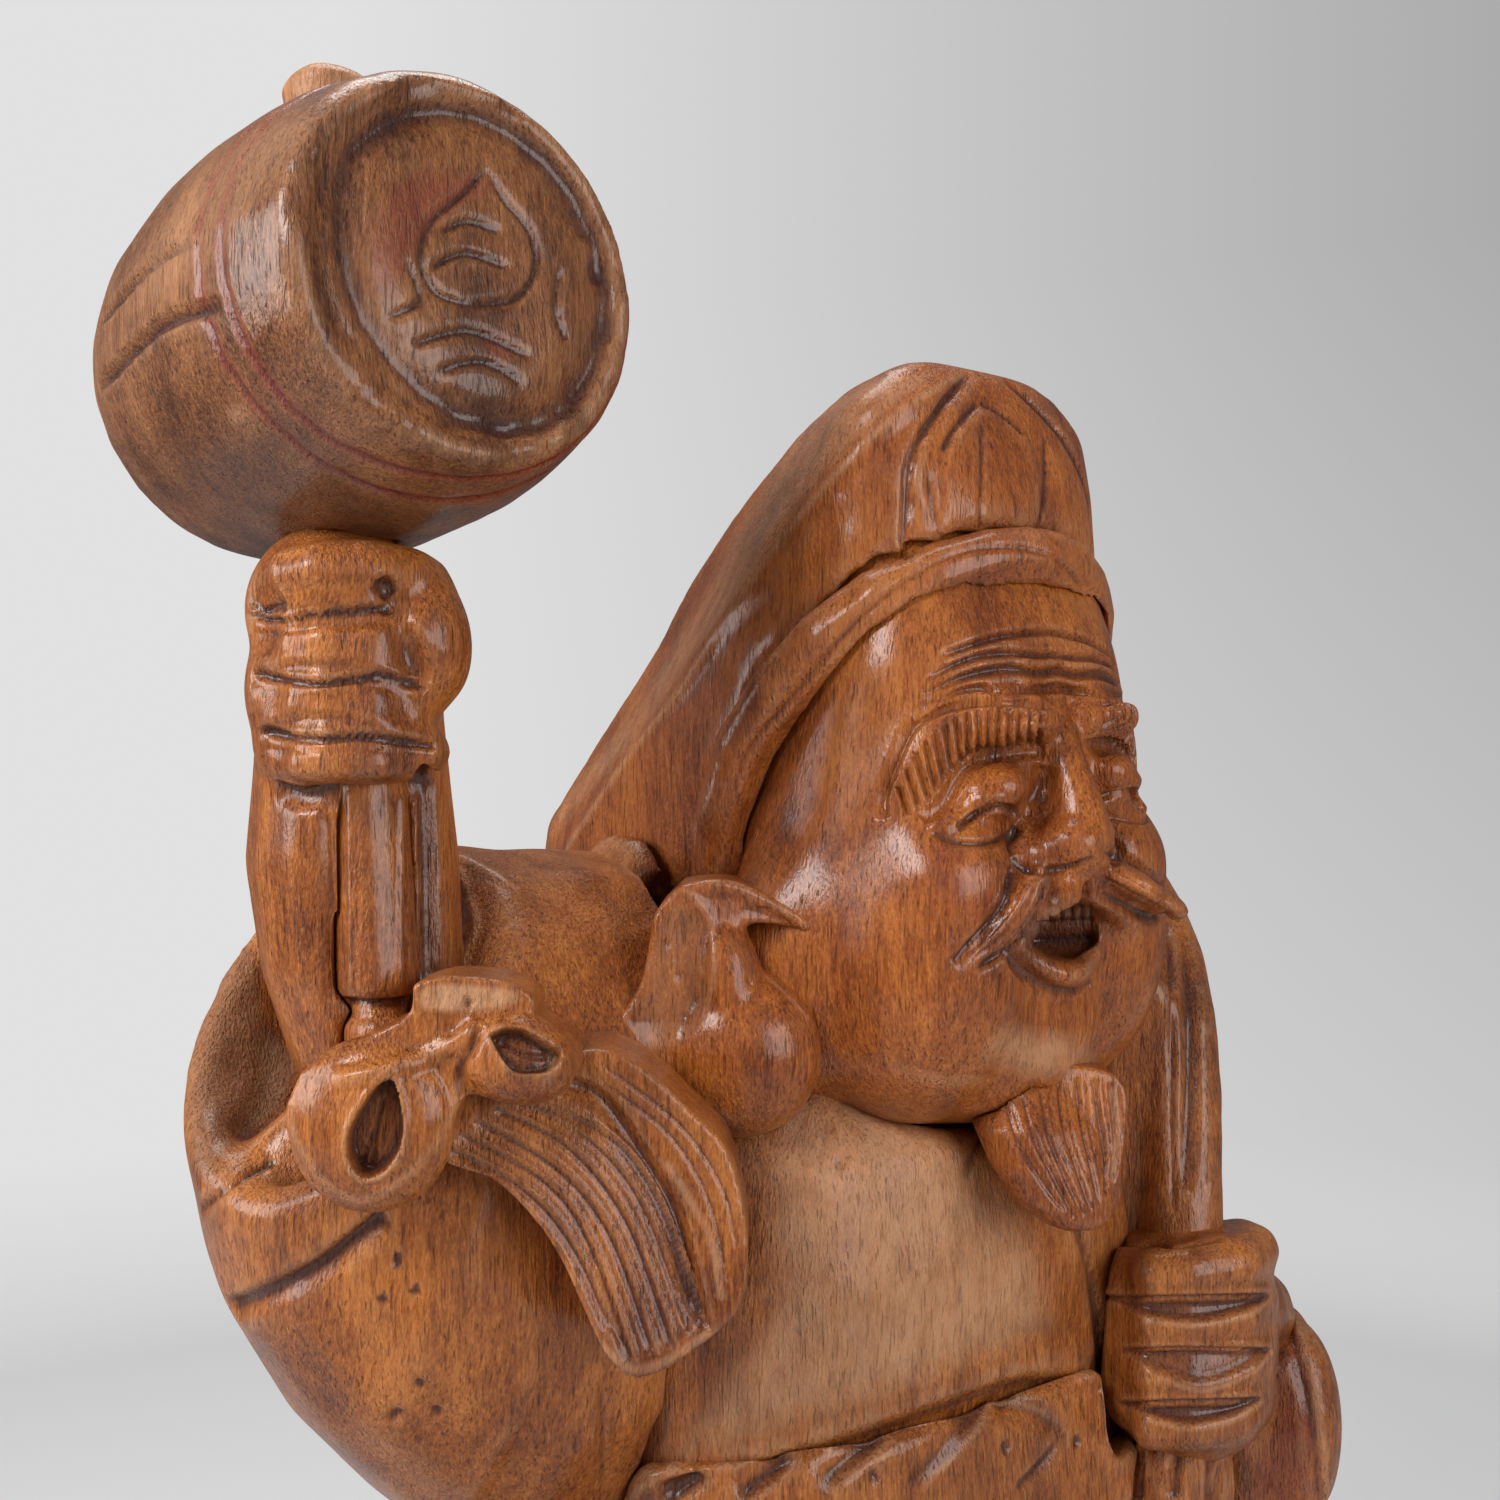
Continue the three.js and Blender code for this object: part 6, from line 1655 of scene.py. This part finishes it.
# %% [markdown]
# ## Floor, backdrop and light
#
# The figure stands on a pale table before a pale wall, under broad soft lamps. One round sweep gives
# floor and wall from every side. Its wall shows to the camera only, so it neither blocks nor adds light;
# its glow is painted light, paler to the left and darker to the right. The floor is matt white that
# keeps the shadow, with a painted glow added for camera rays.

# %% Sweep the backdrop
FLOOR_REACH = 1.05
WALL_REACH = 1.3
WALL_TOP = 2.6

sweep = bmesh.new()
profile = [(0.0, 0.0), (FLOOR_REACH * 0.5, 0.0), (FLOOR_REACH, 0.0)]
for step in range(1, 9):
    turn = math.radians(90 * step / 8)
    bend = WALL_REACH - FLOOR_REACH
    profile.append((FLOOR_REACH + bend * math.sin(turn), bend * (1 - math.cos(turn))))
profile.append((WALL_REACH, WALL_TOP))
line = [sweep.verts.new((x, 0, z)) for x, z in profile]
for first, second in zip(line, line[1:]):
    sweep.edges.new((first, second))
whole_line = sweep.verts[:] + sweep.edges[:]
bmesh.ops.spin(sweep, geom=whole_line, axis=(0, 0, 1), angle=2 * math.pi, steps=72, use_merge=True)
bmesh.ops.remove_doubles(sweep, verts=sweep.verts, dist=0.1 * MM)
bmesh.ops.recalc_face_normals(sweep, faces=sweep.faces)
backdrop_mesh = bpy.data.meshes.new("backdrop")
sweep.to_mesh(backdrop_mesh)
sweep.free()
backdrop_mesh.shade_smooth()
backdrop = show("backdrop", backdrop_mesh)
print("backdrop faces:", len(backdrop_mesh.polygons))

# %% Colour the backdrop
WALL_LIGHT, WALL_DARK = rgba(225, 225, 225), rgba(168, 168, 168)
FLOOR_WHITE, FLOOR_SHEEN = rgba(196, 196, 196), rgba(138, 138, 138)
SHADE_REACH = (-0.45, 0.75)
LOW_SHADE = 0.45
FLOOR_BLEND = 0.12


def mixed_shaders(tree, share, first, second):
    """A node that goes from one shader to the other by a share."""
    node = add_node(tree, "ShaderNodeMixShader")
    tree.links.new(share, node.inputs["Fac"])
    tree.links.new(first.outputs[0], node.inputs[1])
    tree.links.new(second.outputs[0], node.inputs[2])
    return node


paper = bpy.data.materials.new("backdrop_paper")
paper.use_nodes = True
tree = paper.node_tree
tree.nodes.clear()
out = tree.nodes.new("ShaderNodeOutputMaterial")
coordinates = add_node(tree, "ShaderNodeTexCoord").outputs["Object"]
split = add_node(tree, "ShaderNodeSeparateXYZ")
tree.links.new(coordinates, split.inputs[0])
height = split.outputs["Z"]
right_share = maths(tree, "MULTIPLY", split.outputs["X"], RIGHTWARD.x)
rightward = maths(tree, "ADD", right_share, maths(tree, "MULTIPLY", split.outputs["Y"], RIGHTWARD.y))
sideways = ranged(tree, rightward, *SHADE_REACH)
# Painted fall-off of light on the wall: darker to the right and higher up.
darker = maths(tree, "MULTIPLY", sideways, ranged(tree, height, 0.0, 1.0, LOW_SHADE, 1.0))
glow = add_node(tree, "ShaderNodeEmission")
tree.links.new(blend_colours(tree, darker, WALL_LIGHT, WALL_DARK), glow.inputs["Color"])
clear = add_node(tree, "ShaderNodeBsdfTransparent")
matt = add_node(tree, "ShaderNodeBsdfDiffuse", in_Color=FLOOR_WHITE)
light_path = add_node(tree, "ShaderNodeLightPath")
shown = maths(tree, "MAXIMUM", light_path.outputs["Is Camera Ray"], light_path.outputs["Is Transmission Ray"])
# A painted glow on the floor, seen by camera rays.
sheen = add_node(tree, "ShaderNodeEmission", in_Color=FLOOR_SHEEN)
tree.links.new(shown, sheen.inputs["Strength"])
floor = add_node(tree, "ShaderNodeAddShader")
tree.links.new(matt.outputs[0], floor.inputs[0])
tree.links.new(sheen.outputs[0], floor.inputs[1])
wall = mixed_shaders(tree, shown, clear, glow)
whole = mixed_shaders(tree, ranged(tree, height, 0.0, FLOOR_BLEND), floor, wall)
tree.links.new(whole.outputs[0], out.inputs["Surface"])
backdrop_mesh.materials.append(paper)

# %% Place the lamps
FIGURE_MIDDLE = Vector((-0.03, 0, 0.42))


def soft_lamp(name, leftward, towards, up, width, power):
    """A square soft lamp, its place told from the figure's middle as the camera sees it, in metres."""
    lamp = show(name, bpy.data.lights.new(name, "AREA"))
    lamp.data.size = width
    lamp.data.energy = power
    lamp.location = FIGURE_MIDDLE - RIGHTWARD * leftward - FORWARD * towards + Vector((0, 0, up))
    aim = FIGURE_MIDDLE - lamp.location
    lamp.rotation_euler = aim.to_track_quat("-Z", "Y").to_euler()


BROAD_LAMP = 0.7
soft_lamp("key_lamp", 0.6, 0.85, 0.7, width=0.38, power=8.5)
soft_lamp("fill_lamp", -0.9, 0.8, 0.25, BROAD_LAMP, power=8)
soft_lamp("left_lamp", 1.15, 0.5, 0.35, BROAD_LAMP, power=12)
soft_lamp("top_lamp", 0.1, -0.3, 1.2, BROAD_LAMP, power=9)

# %% Light the room a little
world = bpy.data.worlds.new("room")
world.use_nodes = True
room_light = world.node_tree.nodes["Background"]
room_light.inputs["Color"].default_value = rgba(225, 225, 228)
room_light.inputs["Strength"].default_value = 0.17
bpy.context.scene.world = world
bpy.context.scene.view_settings.view_transform = "Standard"
